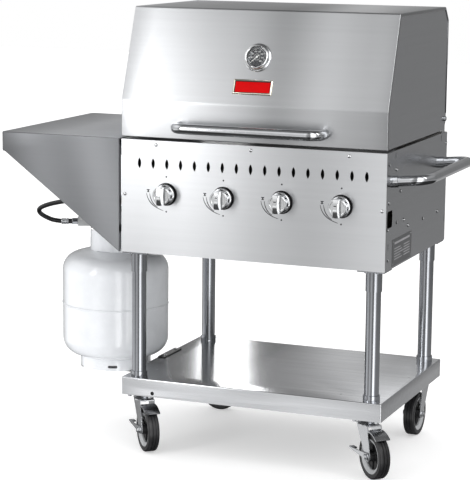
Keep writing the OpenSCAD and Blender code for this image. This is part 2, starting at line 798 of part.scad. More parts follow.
module caster_wheel(i) {
    hub = 2 * fork_in - 0.8;
    color("gainsboro") at_caster(i) difference() {
        union() {
            on_axle(-hub / 2) cylinder(r = 14, h = hub);
            on_axle(-4) cylinder(r = 46, h = 8);
            on_axle(-wheel_w / 2 + 1) tube(48, 5, wheel_w - 2);
        }
        on_axle(-hub / 2 - 1) cylinder(r = axle_r + RUN_FIT, h = hub + 2);
    }
}

module caster_tyre(i) {
    color("black") at_caster(i) on_axle(0) rotate_extrude() difference() {
        union() {
            translate([40, -wheel_w / 2 + 5]) square([wheel_r - 40, wheel_w - 10]);
            translate([40, -wheel_w / 2]) square([wheel_r - 45, wheel_w]);
            for (y = [-1, 1]) translate([wheel_r - 5, y * (wheel_w / 2 - 5)]) circle(5);
        }
        translate([0, -wheel_w]) square([48, 2 * wheel_w]);
    }
}

// A lever on the axle, outside the fork, with a foot pad beyond the tread on the leading side
module brake_pedal(i) {
    out = fork_in + fork_t;
    color("silver") at_caster(i) {
        difference() {
            in_xz(-out - 3.7, 3.2) translate([trail, wheel_r]) {
                circle(11);
                polygon([[2, -10], [2, 10], [pedal_x[1], pedal_z[1]], [pedal_x[0], pedal_z[1]],
                    [pedal_x[0], pedal_z[0]], [pedal_x[1], pedal_z[0] - 3]]);
            }
            on_axle(-out - 5) cylinder(r = axle_r + RUN_FIT, h = 8);
        }
        span([trail + pedal_x[0], -out - 3.7, wheel_r + pedal_z[0]],
            [trail + pedal_x[1], -10, wheel_r + pedal_z[1]]);
    }
}

// ---- gas cylinder -----------------------------------------------------------------------------

// Half section of one domed end above z = 0, all radii less by inset
module dome_2d(inset) {
    centre_z = tank_side + crown_h - crown_r;
    across = unit([crown_c, tank_side - centre_z]);
    reach = 1.1 * crown_r;
    intersection() {
        translate([0, centre_z]) circle(crown_r - inset);
        translate([0, centre_z]) polygon([[0, 0], across * reach, [0, reach]]);
        square([tank_r, tank_side + crown_h]);
    }
    translate([crown_c, tank_side]) intersection() {
        circle(knuckle - inset);
        square(tank_r);
    }
    square([tank_r - inset, tank_side]);
}

module tank_solid(inset) {
    translate([tank_at[0], tank_at[1], tank_mid]) {
        rotate_extrude() dome_2d(inset);
        mirror([0, 0, 1]) rotate_extrude() dome_2d(inset);
    }
}

module at_tank(z) { translate([tank_at[0], tank_at[1], z]) children(); }

module tank_shell() {
    color("ivory") {
        difference() {
            union() {
                tank_solid(0);
                at_tank(tank_mid) rotate_extrude() translate([tank_r, 0]) circle(1.6, $fn = SMALL_FN);
                at_tank(500) cylinder(r = 20, h = 34);
            }
            tank_solid(tank_wall);
            at_tank(500) cylinder(r = 12, h = 40);
        }
    }
}

module tank_collar() {
    color("ivory") difference() {
        at_tank(500) tube(collar_r, collar_t, collar_top - 500);
        tank_solid(0);
        at_tank(collar_window) rotate([0, 0, outlet_angle]) linear_extrude(100)
            polygon([[0, 0], [100, -53], [160, 0], [100, 53]]);
        at_tank(grip_z) rotate([90, 0, outlet_angle + 70]) translate([0, 0, -100])
            linear_extrude(200) rounded_rect([-35, -26], [35, 26], 11);
        for (k = [0 : 2])
            at_tank(500) rotate([0, 0, outlet_angle + 60 + k * 120]) span([0, -22, 0], [90, 22, 22]);
    }
}

module tank_foot_ring() {
    color("ivory") difference() {
        at_tank(foot_z) tube(foot_r, 3, 60);
        tank_solid(0);
        for (a = [20, 110]) at_tank(foot_z + 12) rotate([90, 0, a]) translate([0, 0, -120])
            linear_extrude(240) rounded_rect([-14, -4], [14, 4], 3.9);
    }
}

module tank_valve() {
    color("goldenrod") {
        at_tank(500) cylinder(r = 12, h = 40);
        at_tank(534) cylinder(r = 17, h = 18, $fn = 6);
        at_tank(552) cylinder(r = 14, h = 68);
        at_tank(620) pin(4, 28);
        at_tank(outlet_z) rotate([0, 90, outlet_angle]) cylinder(r = 12, h = outlet_len);
        at_tank(outlet_z) rotate([0, 90, outlet_angle + 180]) cylinder(r = 8, h = 24);
        at_tank(646) cylinder(r = 6.5, h = 4, $fn = 6);
    }
}

// A wheel with six lobes, turning on the valve's spindle
module tank_handwheel() {
    color("darkgreen") at_tank(633) difference() {
        union() {
            cylinder(r = 24, h = 12);
            for (k = [0 : 5]) rotate([0, 0, 60 * k]) translate([22, 0, 0]) pin(6.5, 12);
        }
        translate([0, 0, -1]) pin(4 + RUN_FIT, 14);
    }
}

module on_outlet(d) {
    at_tank(outlet_z) rotate([0, 90, outlet_angle]) translate([0, 0, d]) children();
}

// Coupling nut, body, and the diaphragm housing that stands on the body
module gas_regulator() {
    nut_len = 28;
    housing_r = 26;
    color("dimgray") {
        on_outlet(outlet_len) cylinder(r = 20, h = nut_len);
        on_outlet(outlet_len + nut_len) cylinder(r = 14, h = regulator_end - outlet_len - nut_len);
        on_outlet(regulator_end - housing_r - 2) rotate([0, -90, 0]) translate([0, 0, 6])
            cylinder(r = housing_r, h = 22);
    }
}

// Nut and crimped ferrule at each end of the hose
module hose_fittings() {
    color("silver") {
        on_outlet(regulator_end) cylinder(r = 10, h = 20, $fn = 6);
        on_outlet(regulator_end + 20) tube(ferrule_r, ferrule_r - 6, 28);
        translate([-415, pipe_y, pipe_z]) rotate([0, 90, 0]) tube(14, 8, 17);
        translate([-440, pipe_y, pipe_z]) rotate([0, 90, 0]) tube(ferrule_r, ferrule_r - 6, 25);
    }
}

function heading(p, i) = unit(p[min(i + 1, len(p) - 1)] - p[max(i - 1, 0)]);
function hoop(c, dir, r, n) =
    let (side = unit(cross(dir, [0, 0, 1])), up = cross(side, dir))
    [for (k = [0 : n - 1]) c + r * (cos(360 * k / n) * side + sin(360 * k / n) * up)];

// One closed tube swept along the route
module gas_hose() {
    n = HOSE_SIDES;
    rings = len(hose_route);
    points = [for (i = [0 : rings - 1]) each hoop(hose_route[i], heading(hose_route, i), hose_r, n)];
    walls = [for (i = [0 : rings - 2], k = [0 : n - 1])
        [i * n + k, i * n + (k + 1) % n, (i + 1) * n + (k + 1) % n, (i + 1) * n + k]];
    first = [for (k = [n - 1 : -1 : 0]) k];
    last = [for (k = [0 : n - 1]) (rings - 1) * n + k];
    color("black") polyhedron(points = points, faces = concat(walls, [first, last]), convexity = 4);
}

// ---- every node -------------------------------------------------------------------------------

placed() front_panel();
placed() side_panel_left();
placed() side_panel_right();
placed() back_panel();
placed() firebox_liner();
placed() drip_pan();
placed() sheet_screws();
placed() rating_plate();
placed() manifold();
placed() gas_valves();
placed() burners();
placed() heat_tents();
placed() cooking_grates();
placed() knob_at(0);  // knob_1
placed() knob_at(1);  // knob_2
placed() knob_at(2);  // knob_3
placed() knob_at(3);  // knob_4
placed() valve_plug(0);  // valve_plug_1
placed() valve_plug(1);  // valve_plug_2
placed() valve_plug(2);  // valve_plug_3
placed() valve_plug(3);  // valve_plug_4
placed() knob_bezels();
placed() hood_skin();
placed() hood_sides();
placed() hood_handle();
placed() thermometer_case();
placed() thermometer_dial();
placed() thermometer_needle();
placed() thermometer_glass();
placed() badge();
placed() hinge_brackets();
placed() side_shelf();
placed() side_handle();
placed() lower_shelf();
placed() legs();
placed() leg_sockets();
placed() tank_bracket();
placed() caster_plates();
placed() caster_fork(0);  // caster_fork_1
placed() caster_fork(1);  // caster_fork_2
placed() caster_fork(2);  // caster_fork_3
placed() caster_fork(3);  // caster_fork_4
placed() caster_wheel(0);  // caster_wheel_1
placed() caster_wheel(1);  // caster_wheel_2
placed() caster_wheel(2);  // caster_wheel_3
placed() caster_wheel(3);  // caster_wheel_4
placed() caster_tyre(0);  // caster_tyre_1
placed() caster_tyre(1);  // caster_tyre_2
placed() caster_tyre(2);  // caster_tyre_3
placed() caster_tyre(3);  // caster_tyre_4
placed() brake_pedal(0);  // brake_pedal_left
placed() brake_pedal(1);  // brake_pedal_right
placed() tank_shell();
placed() tank_collar();
placed() tank_foot_ring();
placed() tank_valve();
placed() tank_handwheel();
placed() gas_regulator();
placed() hose_fittings();
placed() gas_hose();
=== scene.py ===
"""Gas barbecue grill: the looks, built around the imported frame.

Sizes are millimetres in the grill's working frame, x = 0 in the middle of the front panel, y = 0 on
its face and z = 0 on the floor. at() turns them into the row frame's metres.
"""

import json
import math

import bmesh
import bpy
from mathutils import Matrix, Vector


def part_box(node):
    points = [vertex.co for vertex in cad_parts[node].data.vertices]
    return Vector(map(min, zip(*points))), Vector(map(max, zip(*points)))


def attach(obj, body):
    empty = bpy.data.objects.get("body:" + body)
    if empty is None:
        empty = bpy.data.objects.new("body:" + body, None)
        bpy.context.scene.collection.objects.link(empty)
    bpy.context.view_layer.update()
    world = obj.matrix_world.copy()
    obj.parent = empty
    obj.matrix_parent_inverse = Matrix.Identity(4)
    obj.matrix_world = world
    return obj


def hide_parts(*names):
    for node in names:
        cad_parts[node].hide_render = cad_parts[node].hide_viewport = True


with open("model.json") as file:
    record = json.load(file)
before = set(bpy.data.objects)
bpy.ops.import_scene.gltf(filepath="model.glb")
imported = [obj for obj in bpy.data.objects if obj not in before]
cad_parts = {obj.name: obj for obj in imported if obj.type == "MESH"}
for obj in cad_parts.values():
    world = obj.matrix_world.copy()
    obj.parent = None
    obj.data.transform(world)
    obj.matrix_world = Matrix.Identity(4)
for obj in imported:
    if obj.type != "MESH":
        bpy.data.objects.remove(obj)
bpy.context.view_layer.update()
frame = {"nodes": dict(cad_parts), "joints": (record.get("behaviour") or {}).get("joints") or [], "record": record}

NODES = frame["nodes"]
JOINTS = {j["name"]: j for j in frame["joints"]}
BODY_OF = {n: b for b, members in frame["record"]["behaviour"]["bodies"].items() for n in members}
MM = 0.001

panel_lo, panel_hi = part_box("front_panel")
HOME = Vector(((panel_lo.x + panel_hi.x) / 2, panel_lo.y, 0))
HALF_W = (panel_hi.x - panel_lo.x) / 2 / MM
CAB_Z0 = panel_lo.z / MM
SHEET = 1.5


def at(x, y, z):
    """A point of the working frame, in the row frame."""
    return HOME + Vector((x, y, z)) * MM


def near(point):
    """A point of the row frame, in millimetres of the working frame."""
    return (Vector(point) - HOME) / MM


def spin(degrees, axis="Z"):
    return Matrix.Rotation(math.radians(degrees), 4, axis)


def facing(spot, out):
    """A place at a spot, with local Z along a direction."""
    return Matrix.Translation(spot) @ Vector(out).to_track_quat("Z", "Y").to_matrix().to_4x4()


def on_front(x, y, z):
    """A place with local Z straight out of the front and local Y up."""
    return Matrix.Translation((x, y, z)) @ spin(90, "X")


def add_object(name, data):
    made = bpy.data.objects.new(name, data)
    bpy.context.scene.collection.objects.link(made)
    return made


# ---- camera ----

CAMERA_AT = (1812.8, -4630.8, 1480.1)
YAW = 21.834
PITCH = 9.755
ROLL = 0.561
LENS = 140.61


def add_camera():
    camera = add_object("camera", bpy.data.cameras.new("camera"))
    camera.data.lens = LENS
    camera.data.clip_end = 60
    turn = spin(YAW) @ spin(90 - PITCH, "X")
    camera.matrix_world = Matrix.Translation(at(*CAMERA_AT)) @ turn @ spin(ROLL)
    bpy.context.scene.camera = camera


add_camera()


# ---- materials ----

class Nodes:
    """A node tree and short calls for what it is made of."""

    def __init__(self, tree):
        self.tree = tree

    def node(self, kind, **settings):
        made = self.tree.nodes.new(kind)
        for key, value in settings.items():
            setattr(made, key, value)
        return made

    def link(self, a, b):
        self.tree.links.new(a, b)

    def spread(self, source, low, high, start=0.3, end=0.7, curve="LINEAR"):
        """The source's values from start to end, as low to high."""
        made = self.node("ShaderNodeMapRange", interpolation_type=curve)
        for key, value in zip(("From Min", "From Max", "To Min", "To Max"), (start, end, low, high)):
            made.inputs[key].default_value = value
        self.link(source, made.inputs["Value"])
        return made.outputs["Result"]

    def levels(self, source, stops, most=1, curve="LINEAR"):
        """The source, from 0 to 1, as brightness through (place, level) stops, divided by most."""
        ramp = self.node("ShaderNodeValToRGB")
        ramp.color_ramp.interpolation = curve
        marks = ramp.color_ramp.elements
        while len(marks) < len(stops):
            marks.new(0.5)
        low, high = stops[0][0], stops[-1][0]
        for mark, (place, level) in zip(marks, stops):
            mark.position = (place - low) / (high - low)
            mark.color = (level / most, level / most, level / most, 1)
        self.link(source, ramp.inputs["Fac"])
        return ramp.outputs["Color"]


class Paint(Nodes):
    """A material and short calls for the looks it is made of."""

    def __init__(self, name, color, rough, metallic=0.0, **sockets):
        self.mat = bpy.data.materials.new(name)
        self.mat.use_nodes = True
        super().__init__(self.mat.node_tree)
        self.bsdf = self.tree.nodes["Principled BSDF"]
        self.set("Base Color", (*color, 1))
        self.set("Roughness", rough)
        self.set("Metallic", metallic)
        for key, value in sockets.items():
            self.set(key.replace("_", " "), value)

    def set(self, socket, value):
        self.bsdf.inputs[socket].default_value = value

    def noise(self, scale, detail=3.0, rough=0.55):
        """Noise over the object, with scale in cycles a metre along X, Y and Z."""
        place = self.node("ShaderNodeTexCoord")
        mapping = self.node("ShaderNodeMapping")
        mapping.inputs["Scale"].default_value = scale
        grain = self.node("ShaderNodeTexNoise")
        grain.inputs["Scale"].default_value = 1.0
        grain.inputs["Detail"].default_value = detail
        grain.inputs["Roughness"].default_value = rough
        self.link(place.outputs["Object"], mapping.inputs["Vector"])
        self.link(mapping.outputs["Vector"], grain.inputs["Vector"])
        return grain.outputs["Fac"]

    def tint(self, source, low, high):
        """Two colours mixed by the source."""
        ramp = self.node("ShaderNodeValToRGB")
        for mark, position, color in zip(ramp.color_ramp.elements, (0.3, 0.7), (low, high)):
            mark.position = position
            mark.color = (*color, 1)
        self.link(source, ramp.inputs["Fac"])
        self.link(ramp.outputs["Color"], self.bsdf.inputs["Base Color"])

    def painted_light_band(self, stops):
        """Paint light and shade into the colour: multiply it by a soft ramp through (x in millimetres, level)
        stops.
        """
        place = self.node("ShaderNodeTexCoord")
        split = self.node("ShaderNodeSeparateXYZ")
        self.link(place.outputs["Object"], split.inputs["Vector"])
        low, high = (at(x, 0, 0)[0] for x, _ in (stops[0], stops[-1]))
        along_x = self.spread(split.outputs["X"], 0, 1, low, high)
        lift = self.node("ShaderNodeVectorMath", operation="SCALE")
        lift.inputs["Scale"].default_value = PAINTED_LIGHT_MOST
        self.link(self.levels(along_x, stops, PAINTED_LIGHT_MOST, "B_SPLINE"), lift.inputs[0])
        product = self.node("ShaderNodeVectorMath", operation="MULTIPLY")
        self.link(self.bsdf.inputs["Base Color"].links[0].from_socket, product.inputs[0])
        self.link(lift.outputs["Vector"], product.inputs[1])
        self.link(product.outputs["Vector"], self.bsdf.inputs["Base Color"])

    def rough(self, source, low, high):
        self.link(self.spread(source, low, high), self.bsdf.inputs["Roughness"])

    def bump(self, source, strength, distance):
        made = self.node("ShaderNodeBump")
        made.inputs["Strength"].default_value = strength
        made.inputs["Distance"].default_value = distance
        self.link(source, made.inputs["Height"])
        self.link(made.outputs["Normal"], self.bsdf.inputs["Normal"])

    def grain_tangent(self, axis):
        made = self.node("ShaderNodeTangent", direction_type="RADIAL", axis=axis)
        self.link(made.outputs["Tangent"], self.bsdf.inputs["Tangent"])


def along(axis, across, lengthwise):
    """Noise scales for streaks that run along one axis."""
    return tuple(lengthwise if a == axis else across for a in "XYZ")


def brushed(name, axis, color, rough, stretch, wave=0.0, streak=0.96, metallic=1.0, bands=()):
    """Sheet steel brushed along one axis; wave lets large faces bow a little.

    bands are (x in millimetres, level) stops: painted light and shade, the broad soft patches that the studio's
    lamps put on a sheet, painted into its colour.
    """
    dim = tuple(streak * c for c in color)
    paint = Paint(name, color, rough, metallic, Anisotropic=stretch)
    fine = paint.noise(along(axis, 1400, 9), 2.0)
    broad = paint.noise(along(axis, 90, 1.6), 4.0)
    paint.tint(broad, dim, color)
    if bands:
        paint.painted_light_band(bands)
    paint.rough(fine, rough - 0.02, rough + 0.03)
    paint.bump(fine, 0.03, 0.00004)
    if wave:
        bow = paint.node("ShaderNodeBump")
        bow.inputs["Strength"].default_value = wave
        bow.inputs["Distance"].default_value = 0.004
        paint.link(paint.noise((5, 5, 5), 1.0), bow.inputs["Height"])
        grain = paint.bsdf.inputs["Normal"].links[0].from_node
        paint.link(bow.outputs["Normal"], grain.inputs["Normal"])
    paint.grain_tangent(axis)
    return paint.mat


def polished(name, color, rough, scuff=0.03, pits=0.03):
    """Polished or plated metal with faint wipe marks."""
    paint = Paint(name, color, rough, 1.0)
    smear = paint.noise((35, 35, 35), 5.0, 0.6)
    fine = paint.noise((900, 900, 900), 2.0)
    paint.tint(smear, tuple(0.93 * c for c in color), color)
    paint.rough(smear, rough, rough + scuff)
    if pits:
        paint.bump(fine, pits, 0.00005)
    return paint.mat


def coated(name, color, rough, grain=420, lumps=0.0001, worn=None, dim=0.88, **sockets):
    """Paint, rubber or plastic with a fine surface and slightly uneven colour."""
    paint = Paint(name, color, rough, 0.0, **sockets)
    fine = paint.noise((grain, grain, grain), 3.0)
    broad = paint.noise((18, 18, 18), 5.0, 0.6)
    paint.tint(broad, tuple(dim * c for c in color), worn or tuple(min(1, 1.05 * c) for c in color))
    paint.rough(broad, rough - 0.02, rough + 0.04)
    paint.bump(fine, 0.35, lumps)
    return paint.mat


STEEL = (0.665, 0.675, 0.69)
SIDE_STEEL = (0.60, 0.61, 0.63)
SHELF_STEEL = (0.66, 0.67, 0.69)

# A smooth ramp cuts levels off at 1, so the painted light levels go in divided by this and are cut off at it
PAINTED_LIGHT_MOST = 1.5
# Painted light and shade along X: levels by which each sheet's colour is made lighter or darker where the studio's
# lamps fall on it
HOOD_PAINTED_LIGHT = [(-381, 1.2), (-330, 1.1), (-190, 0.82), (-70, 0.76), (0, 0.66), (60, 0.5), (120, 0.62),
              (190, 0.88), (260, 0.8), (381, 0.62)]
PANEL_PAINTED_LIGHT = [(-381, 0.85), (-300, 0.9), (-190, 1.15), (-60, 1.05), (0, 0.97), (110, 0.85), (190, 0.84),
               (290, 1.05), (381, 1.22)]
# The gusset walls and the side shelf's top are one sheet, and so are the lower shelf's rim and its top: each part
# gets its own painted light
GUSSET_PAINTED_LIGHT = [(-750, 0.38), (-690, 0.44), (-600, 0.78), (-500, 0.56), (-381, 0.6)]
SIDE_TOP_PAINTED_LIGHT = [(-750, 0.62), (-690, 0.7), (-560, 1.05), (-440, 1.5), (-381, 1.6)]
RIM_PAINTED_LIGHT = [(-381, 1.5), (-250, 1.4), (-60, 1.05), (381, 1.0)]
PAN_PAINTED_LIGHT = [(-381, 0.5), (-230, 0.5), (-120, 0.42), (-50, 0.8), (60, 0.9), (170, 0.85), (270, 0.85),
             (340, 1.3), (381, 1.6)]
MATS = {
    "steel_x": brushed("brushed_steel_x", "X", STEEL, 0.30, 0.62, 0.05),
    # The next two steels carry painted light and shade along X, one for the hood and one for the front panel
    "steel_hood": brushed("hood_steel_painted_light", "X", STEEL, 0.30, 0.62, 0.05, bands=HOOD_PAINTED_LIGHT),
    "steel_panel": brushed("panel_steel", "X", STEEL, 0.30, 0.62, 0.05, bands=PANEL_PAINTED_LIGHT),
    "steel_y": brushed("brushed_steel_y", "Y", SIDE_STEEL, 0.24, 0.3, 0.15),
    # The lower shelf's rim and top, and the side shelf's top, are the same steel, lit and shaded apart by painted
    # light
    "shelf": brushed("shelf_rim_steel_painted_light", "X", SHELF_STEEL, 0.21, 0.6, 0.03, 0.9, bands=RIM_PAINTED_LIGHT),
    "shelf_top": brushed("shelf_steel", "X", SHELF_STEEL, 0.21, 0.6, 0.03, 0.86, bands=PAN_PAINTED_LIGHT),
    "side_top": brushed("side_shelf_top_steel_painted_light", "X", SIDE_STEEL, 0.40, 0.2, 0.03, 0.95, 0.6, SIDE_TOP_PAINTED_LIGHT),
    # The gusset walls: the side shelf's steel painted darker, painted shade, with painted light bands of their own
    "side_shelf": brushed("gusset_steel_painted_shade", "X", (0.43, 0.44, 0.46), 0.42, 0.2, 0.03, 0.97, 0.55,
                          GUSSET_PAINTED_LIGHT),
    "tube": polished("polished_tube", (0.62, 0.63, 0.65), 0.13, 0.01, 0.0),
    # The leg material: the polished tube in a darker colour, painted shade for the legs and their sockets
    "leg": polished("leg_tube_painted_shade", (0.33, 0.34, 0.36), 0.14, 0.02, 0.0),
    "chrome": polished("chrome", (0.82, 0.83, 0.84), 0.07, 0.02),
    "knob": polished("satin_chrome", (0.78, 0.79, 0.80), 0.12),
    "screw": polished("screw_steel", (0.84, 0.85, 0.86), 0.2),
    # The dark screw material below: painted shade round the foot of each screw head
    "screw_painted_shade": polished("screw_edge_painted_shade", (0.07, 0.07, 0.075), 0.35),
    "zinc": polished("bright_zinc", (0.66, 0.67, 0.69), 0.22, 0.05, 0.0),
    "dark_steel": polished("heat_darkened_steel", (0.10, 0.095, 0.09), 0.5, 0.15),
    "grate": polished("heat_tinted_rod", (0.34, 0.32, 0.30), 0.38, 0.12),
    "pan": polished("aluminised_pan", (0.42, 0.42, 0.43), 0.4, 0.1),
    "brass": polished("brass", (0.72, 0.52, 0.24), 0.28, 0.1),
    "burner": polished("burner_steel", (0.45, 0.44, 0.43), 0.4, 0.1),
    "black": coated("black_bezel", (0.006, 0.006, 0.007), 0.35, 300, 0.00003, Specular_IOR_Level=0.25),
    "dial": coated("dial_black", (0.008, 0.008, 0.009), 0.5, 500, 0.00002, Specular_IOR_Level=0.2),
    "white": coated("dial_white", (0.86, 0.86, 0.84), 0.45, 500, 0.00002),
    "mark": coated("etched_mark", (0.022, 0.022, 0.025), 0.55, 500, 0.00002, Specular_IOR_Level=0.2),
    "enamel": coated("red_enamel", (0.62, 0.0, 0.001), 0.3, 60, 0.00004, Specular_IOR_Level=0.08),
    "gilt": polished("pale_gilt", (0.86, 0.82, 0.70), 0.12),
    "plate": coated("rating_plate", (0.085, 0.087, 0.09), 0.42, 300, 0.00003),
    "plate_mark": coated("rating_plate_mark", (0.30, 0.30, 0.31), 0.45, 300, 0.00003),
    "bracket": coated("bracket_black", (0.018, 0.018, 0.019), 0.38, 700, 0.00008),
    "rim": coated("wheel_rim", (0.50, 0.51, 0.52), 0.38, 260, 0.00008),
    "tyre": coated("tyre_rubber", (0.011, 0.011, 0.012), 0.33, 500, 0.00012, (0.026, 0.026, 0.028)),
    "hub": coated("wheel_web", (0.008, 0.008, 0.009), 0.45, 260, 0.00006),
    "tank": coated("cylinder_paint", (0.83, 0.85, 0.88), 0.16, 55, 0.0003, dim=0.97, Coat_Weight=0.6),
    "hose": coated("hose_rubber", (0.010, 0.010, 0.011), 0.36, 900, 0.0001),
    "green": coated("handwheel_green", (0.02, 0.12, 0.05), 0.45, 300, 0.00006),
    "regulator": coated("regulator_grey", (0.42, 0.425, 0.43), 0.36, 500, 0.0001),
}


def clear_glass():
    """Clear but for a faint mirror."""
    paint = Paint("gauge_glass", (0.9, 0.95, 1.0), 0.03, 1.0, Alpha=0.035)
    paint.rough(paint.noise((60, 60, 60), 3.0), 0.02, 0.05)
    return paint.mat


MATS["glass"] = clear_glass()


# ---- making pieces ----

def settle(piece, node):
    """The piece rides with a node's body and stands for it; the node is hidden."""
    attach(piece, BODY_OF[node])
    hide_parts(node)
    return piece


def smooth_mesh(mesh, angle):
    mesh.shade_smooth()
    mesh.set_sharp_from_angle(angle=math.radians(angle))


def modifier(piece, kind, **settings):
    made = piece.modifiers.new(kind.lower(), kind)
    for key, value in settings.items():
        setattr(made, key, value)
    return made


def round_edges(piece, width, segments=2):
    modifier(piece, "BEVEL", width=width * MM, segments=segments, limit_method="ANGLE",
             angle_limit=math.radians(35), use_clamp_overlap=True, harden_normals=True)


def soften(node, mat, width=0.5, segments=2, crease=40, merge=0.15):
    """A copy of a CAD node with its flat faces joined up and its edges rounded."""
    mesh = NODES[node].data.copy()
    mesh.name = node + "_finished"
    made = bmesh.new()
    made.from_mesh(mesh)
    bmesh.ops.remove_doubles(made, verts=made.verts, dist=2e-6)
    if merge:
        bmesh.ops.dissolve_limit(made, angle_limit=math.radians(merge), verts=made.verts,
                                 edges=made.edges)
    made.to_mesh(mesh)
    made.free()
    mesh.materials.clear()
    mesh.materials.append(MATS[mat])
    normals = mesh.attributes.get("custom_normal")
    if normals:
        mesh.attributes.remove(normals)
    smooth_mesh(mesh, crease)
    piece = add_object(node + "_finished", mesh)
    if width:
        round_edges(piece, width, segments)
    return settle(piece, node)


def baked(piece):
    """The piece's mesh with its modifiers applied."""
    return bpy.data.meshes.new_from_object(piece.evaluated_get(bpy.context.evaluated_depsgraph_get()))


def corners(x0, x1, y0, y1):
    return [(x0, y0), (x1, y0), (x1, y1), (x0, y1)]


def hexagon(radius):
    return arc((0, 0, radius), 0, 300, 5)


def arc(centre, start, end, steps):
    """Points from start to end, in degrees, round a centre given with its radius."""
    x, y, r = centre
    angles = [math.radians(start + (end - start) * k / steps) for k in range(steps + 1)]
    return [(x + r * math.cos(a), y + r * math.sin(a)) for a in angles]


def rounded(points, radius, steps=4, closed=False):
    """An outline with its corners rounded: one radius, or one for each point."""
    out = []
    last = len(points) - 1
    for i, corner in enumerate(points):
        r = radius[i] if hasattr(radius, "__len__") else radius
        if r <= 0 or (not closed and i in (0, last)):
            out.append(tuple(corner))
            continue
        p = Vector(corner)
        u = (Vector(points[i - 1]) - p).normalized()
        v = (Vector(points[(i + 1) % len(points)]) - p).normalized()
        half = u.angle(v) / 2
        centre = p + (u + v).normalized() * r / math.sin(half)
        a = p + u * r / math.tan(half) - centre
        b = p + v * r / math.tan(half) - centre
        swing = math.atan2(a.x * b.y - a.y * b.x, a.dot(b))
        for k in range(steps + 1):
            t = swing * k / steps
            turned = (a.x * math.cos(t) - a.y * math.sin(t), a.x * math.sin(t) + a.y * math.cos(t))
            out.append((centre.x + turned[0], centre.y + turned[1]))
    return out


def inset(points, distance):
    """An open outline moved to its left by a distance, with mitred corners."""
    normals = []
    for a, b in zip(points, points[1:]):
        d = (Vector(b) - Vector(a)).normalized()
        normals.append(Vector((-d.y, d.x)))
    out = []
    for i, p in enumerate(points):
        n1 = normals[max(i - 1, 0)]
        n2 = normals[min(i, len(normals) - 1)]
        m = (n1 + n2).normalized()
        out.append(tuple(Vector(p) + m * distance / m.dot(n1)))
    return out


class Build:
    """Collects faces in millimetres, in a local frame, with a material for each."""

    def __init__(self, place=None):
        self.place = place or Matrix.Translation(HOME) @ Matrix.Scale(MM, 4)
        self.verts = []
        self.faces = []
        self.paints = []
        self.names = []

    def add(self, verts, faces, mat, turn=None):
        if mat not in self.names:
            self.names.append(mat)
        start = len(self.verts)
        self.verts += [turn @ Vector(v) if turn else Vector(v) for v in verts]
        self.faces += [[start + i for i in f] for f in faces]
        self.paints += [self.names.index(mat)] * len(faces)

    def lathe(self, profile, mat, steps=64, turn=None):
        """A profile of (radius, height), from axis to axis, turned round local Z."""
        verts = []
        rings = []
        for r, z in profile:
            if r < 1e-6:
                rings.append([len(verts)] * steps)
                verts.append((0, 0, z))
                continue
            rings.append([len(verts) + k for k in range(steps)])
            angles = [2 * math.pi * k / steps for k in range(steps)]
            verts += [(r * math.cos(a), r * math.sin(a), z) for a in angles]
        faces = []
        for low, high in zip(rings, rings[1:]):
            for k in range(steps):
                around = [low[k], low[(k + 1) % steps], high[(k + 1) % steps], high[k]]
                face = list(dict.fromkeys(around))
                if len(face) > 2:
                    faces.append(face)
        self.add(verts, faces, mat, turn)

    def ring(self, profile, mat, steps=64, turn=None):
        """A closed profile that doesn't reach the axis, turned round local Z."""
        self.lathe(list(profile) + [profile[0]], mat, steps, turn)

    def prism(self, outline, low, high, mat, turn=None, top=None):
        """A closed outline between two heights; top is the outline at the upper one, if it differs."""
        n = len(outline)
        verts = [(x, y, low) for x, y in outline] + [(x, y, high) for x, y in (top or outline)]
        faces = [list(range(n))[::-1], list(range(n, 2 * n))]
        faces += [[k, (k + 1) % n, n + (k + 1) % n, n + k] for k in range(n)]
        self.add(verts, faces, mat, turn)

    def rows(self, rows, mat, closed=False):
        """Quads between rows of points; closed joins each row's ends."""
        n = len(rows[0])
        verts = [p for row in rows for p in row]
        span = n if closed else n - 1
        faces = [[i * n + k, i * n + (k + 1) % n, (i + 1) * n + (k + 1) % n, (i + 1) * n + k]
                 for i in range(len(rows) - 1) for k in range(span)]
        self.add(verts, faces, mat)

    def done(self, name, crease=35, weld=1e-6):
        mesh = bpy.data.meshes.new(name)
        mesh.from_pydata([tuple(self.place @ v) for v in self.verts], [], self.faces)
        for mat in self.names:
            mesh.materials.append(MATS[mat])
        mesh.polygons.foreach_set("material_index", self.paints)
        made = bmesh.new()
        made.from_mesh(mesh)
        bmesh.ops.remove_doubles(made, verts=made.verts, dist=weld)
        bmesh.ops.recalc_face_normals(made, faces=made.faces)
        made.to_mesh(mesh)
        made.free()
        smooth_mesh(mesh, crease)
        return add_object(name, mesh)


def frame_at(origin, z_axis, x_axis):
    """A place with local Z and X along the given directions, in millimetres."""
    z = Vector(z_axis).normalized()
    x = (Vector(x_axis) - z * Vector(x_axis).dot(z)).normalized()
    turn = Matrix((x, z.cross(x), z)).transposed().to_4x4()
    return Matrix.Translation(origin) @ turn @ Matrix.Scale(MM, 4)


# ---- gas hose ----

HOSE_ROUTE = [(-440, 40, 702), (-466, 41, 701), (-492, 45, 698), (-518, 52, 695), (-544, 60, 691),
              (-570, 69, 687), (-596, 77, 682), (-622, 84, 676), (-648, 89, 669), (-673, 97, 660),
              (-693, 111, 650), (-706, 131, 639), (-710, 152, 627), (-704, 173, 615), (-690, 188, 606),
              (-668, 198, 602)]
# In metres
HOSE_D = 0.013
HOSE_INLET = (-398, 40, 702)
TANK_X, TANK_Y = -525, 265
OUTLET_Z = 602
OUTLET_TURN = math.radians(205)
OUTLET_REACH = 110


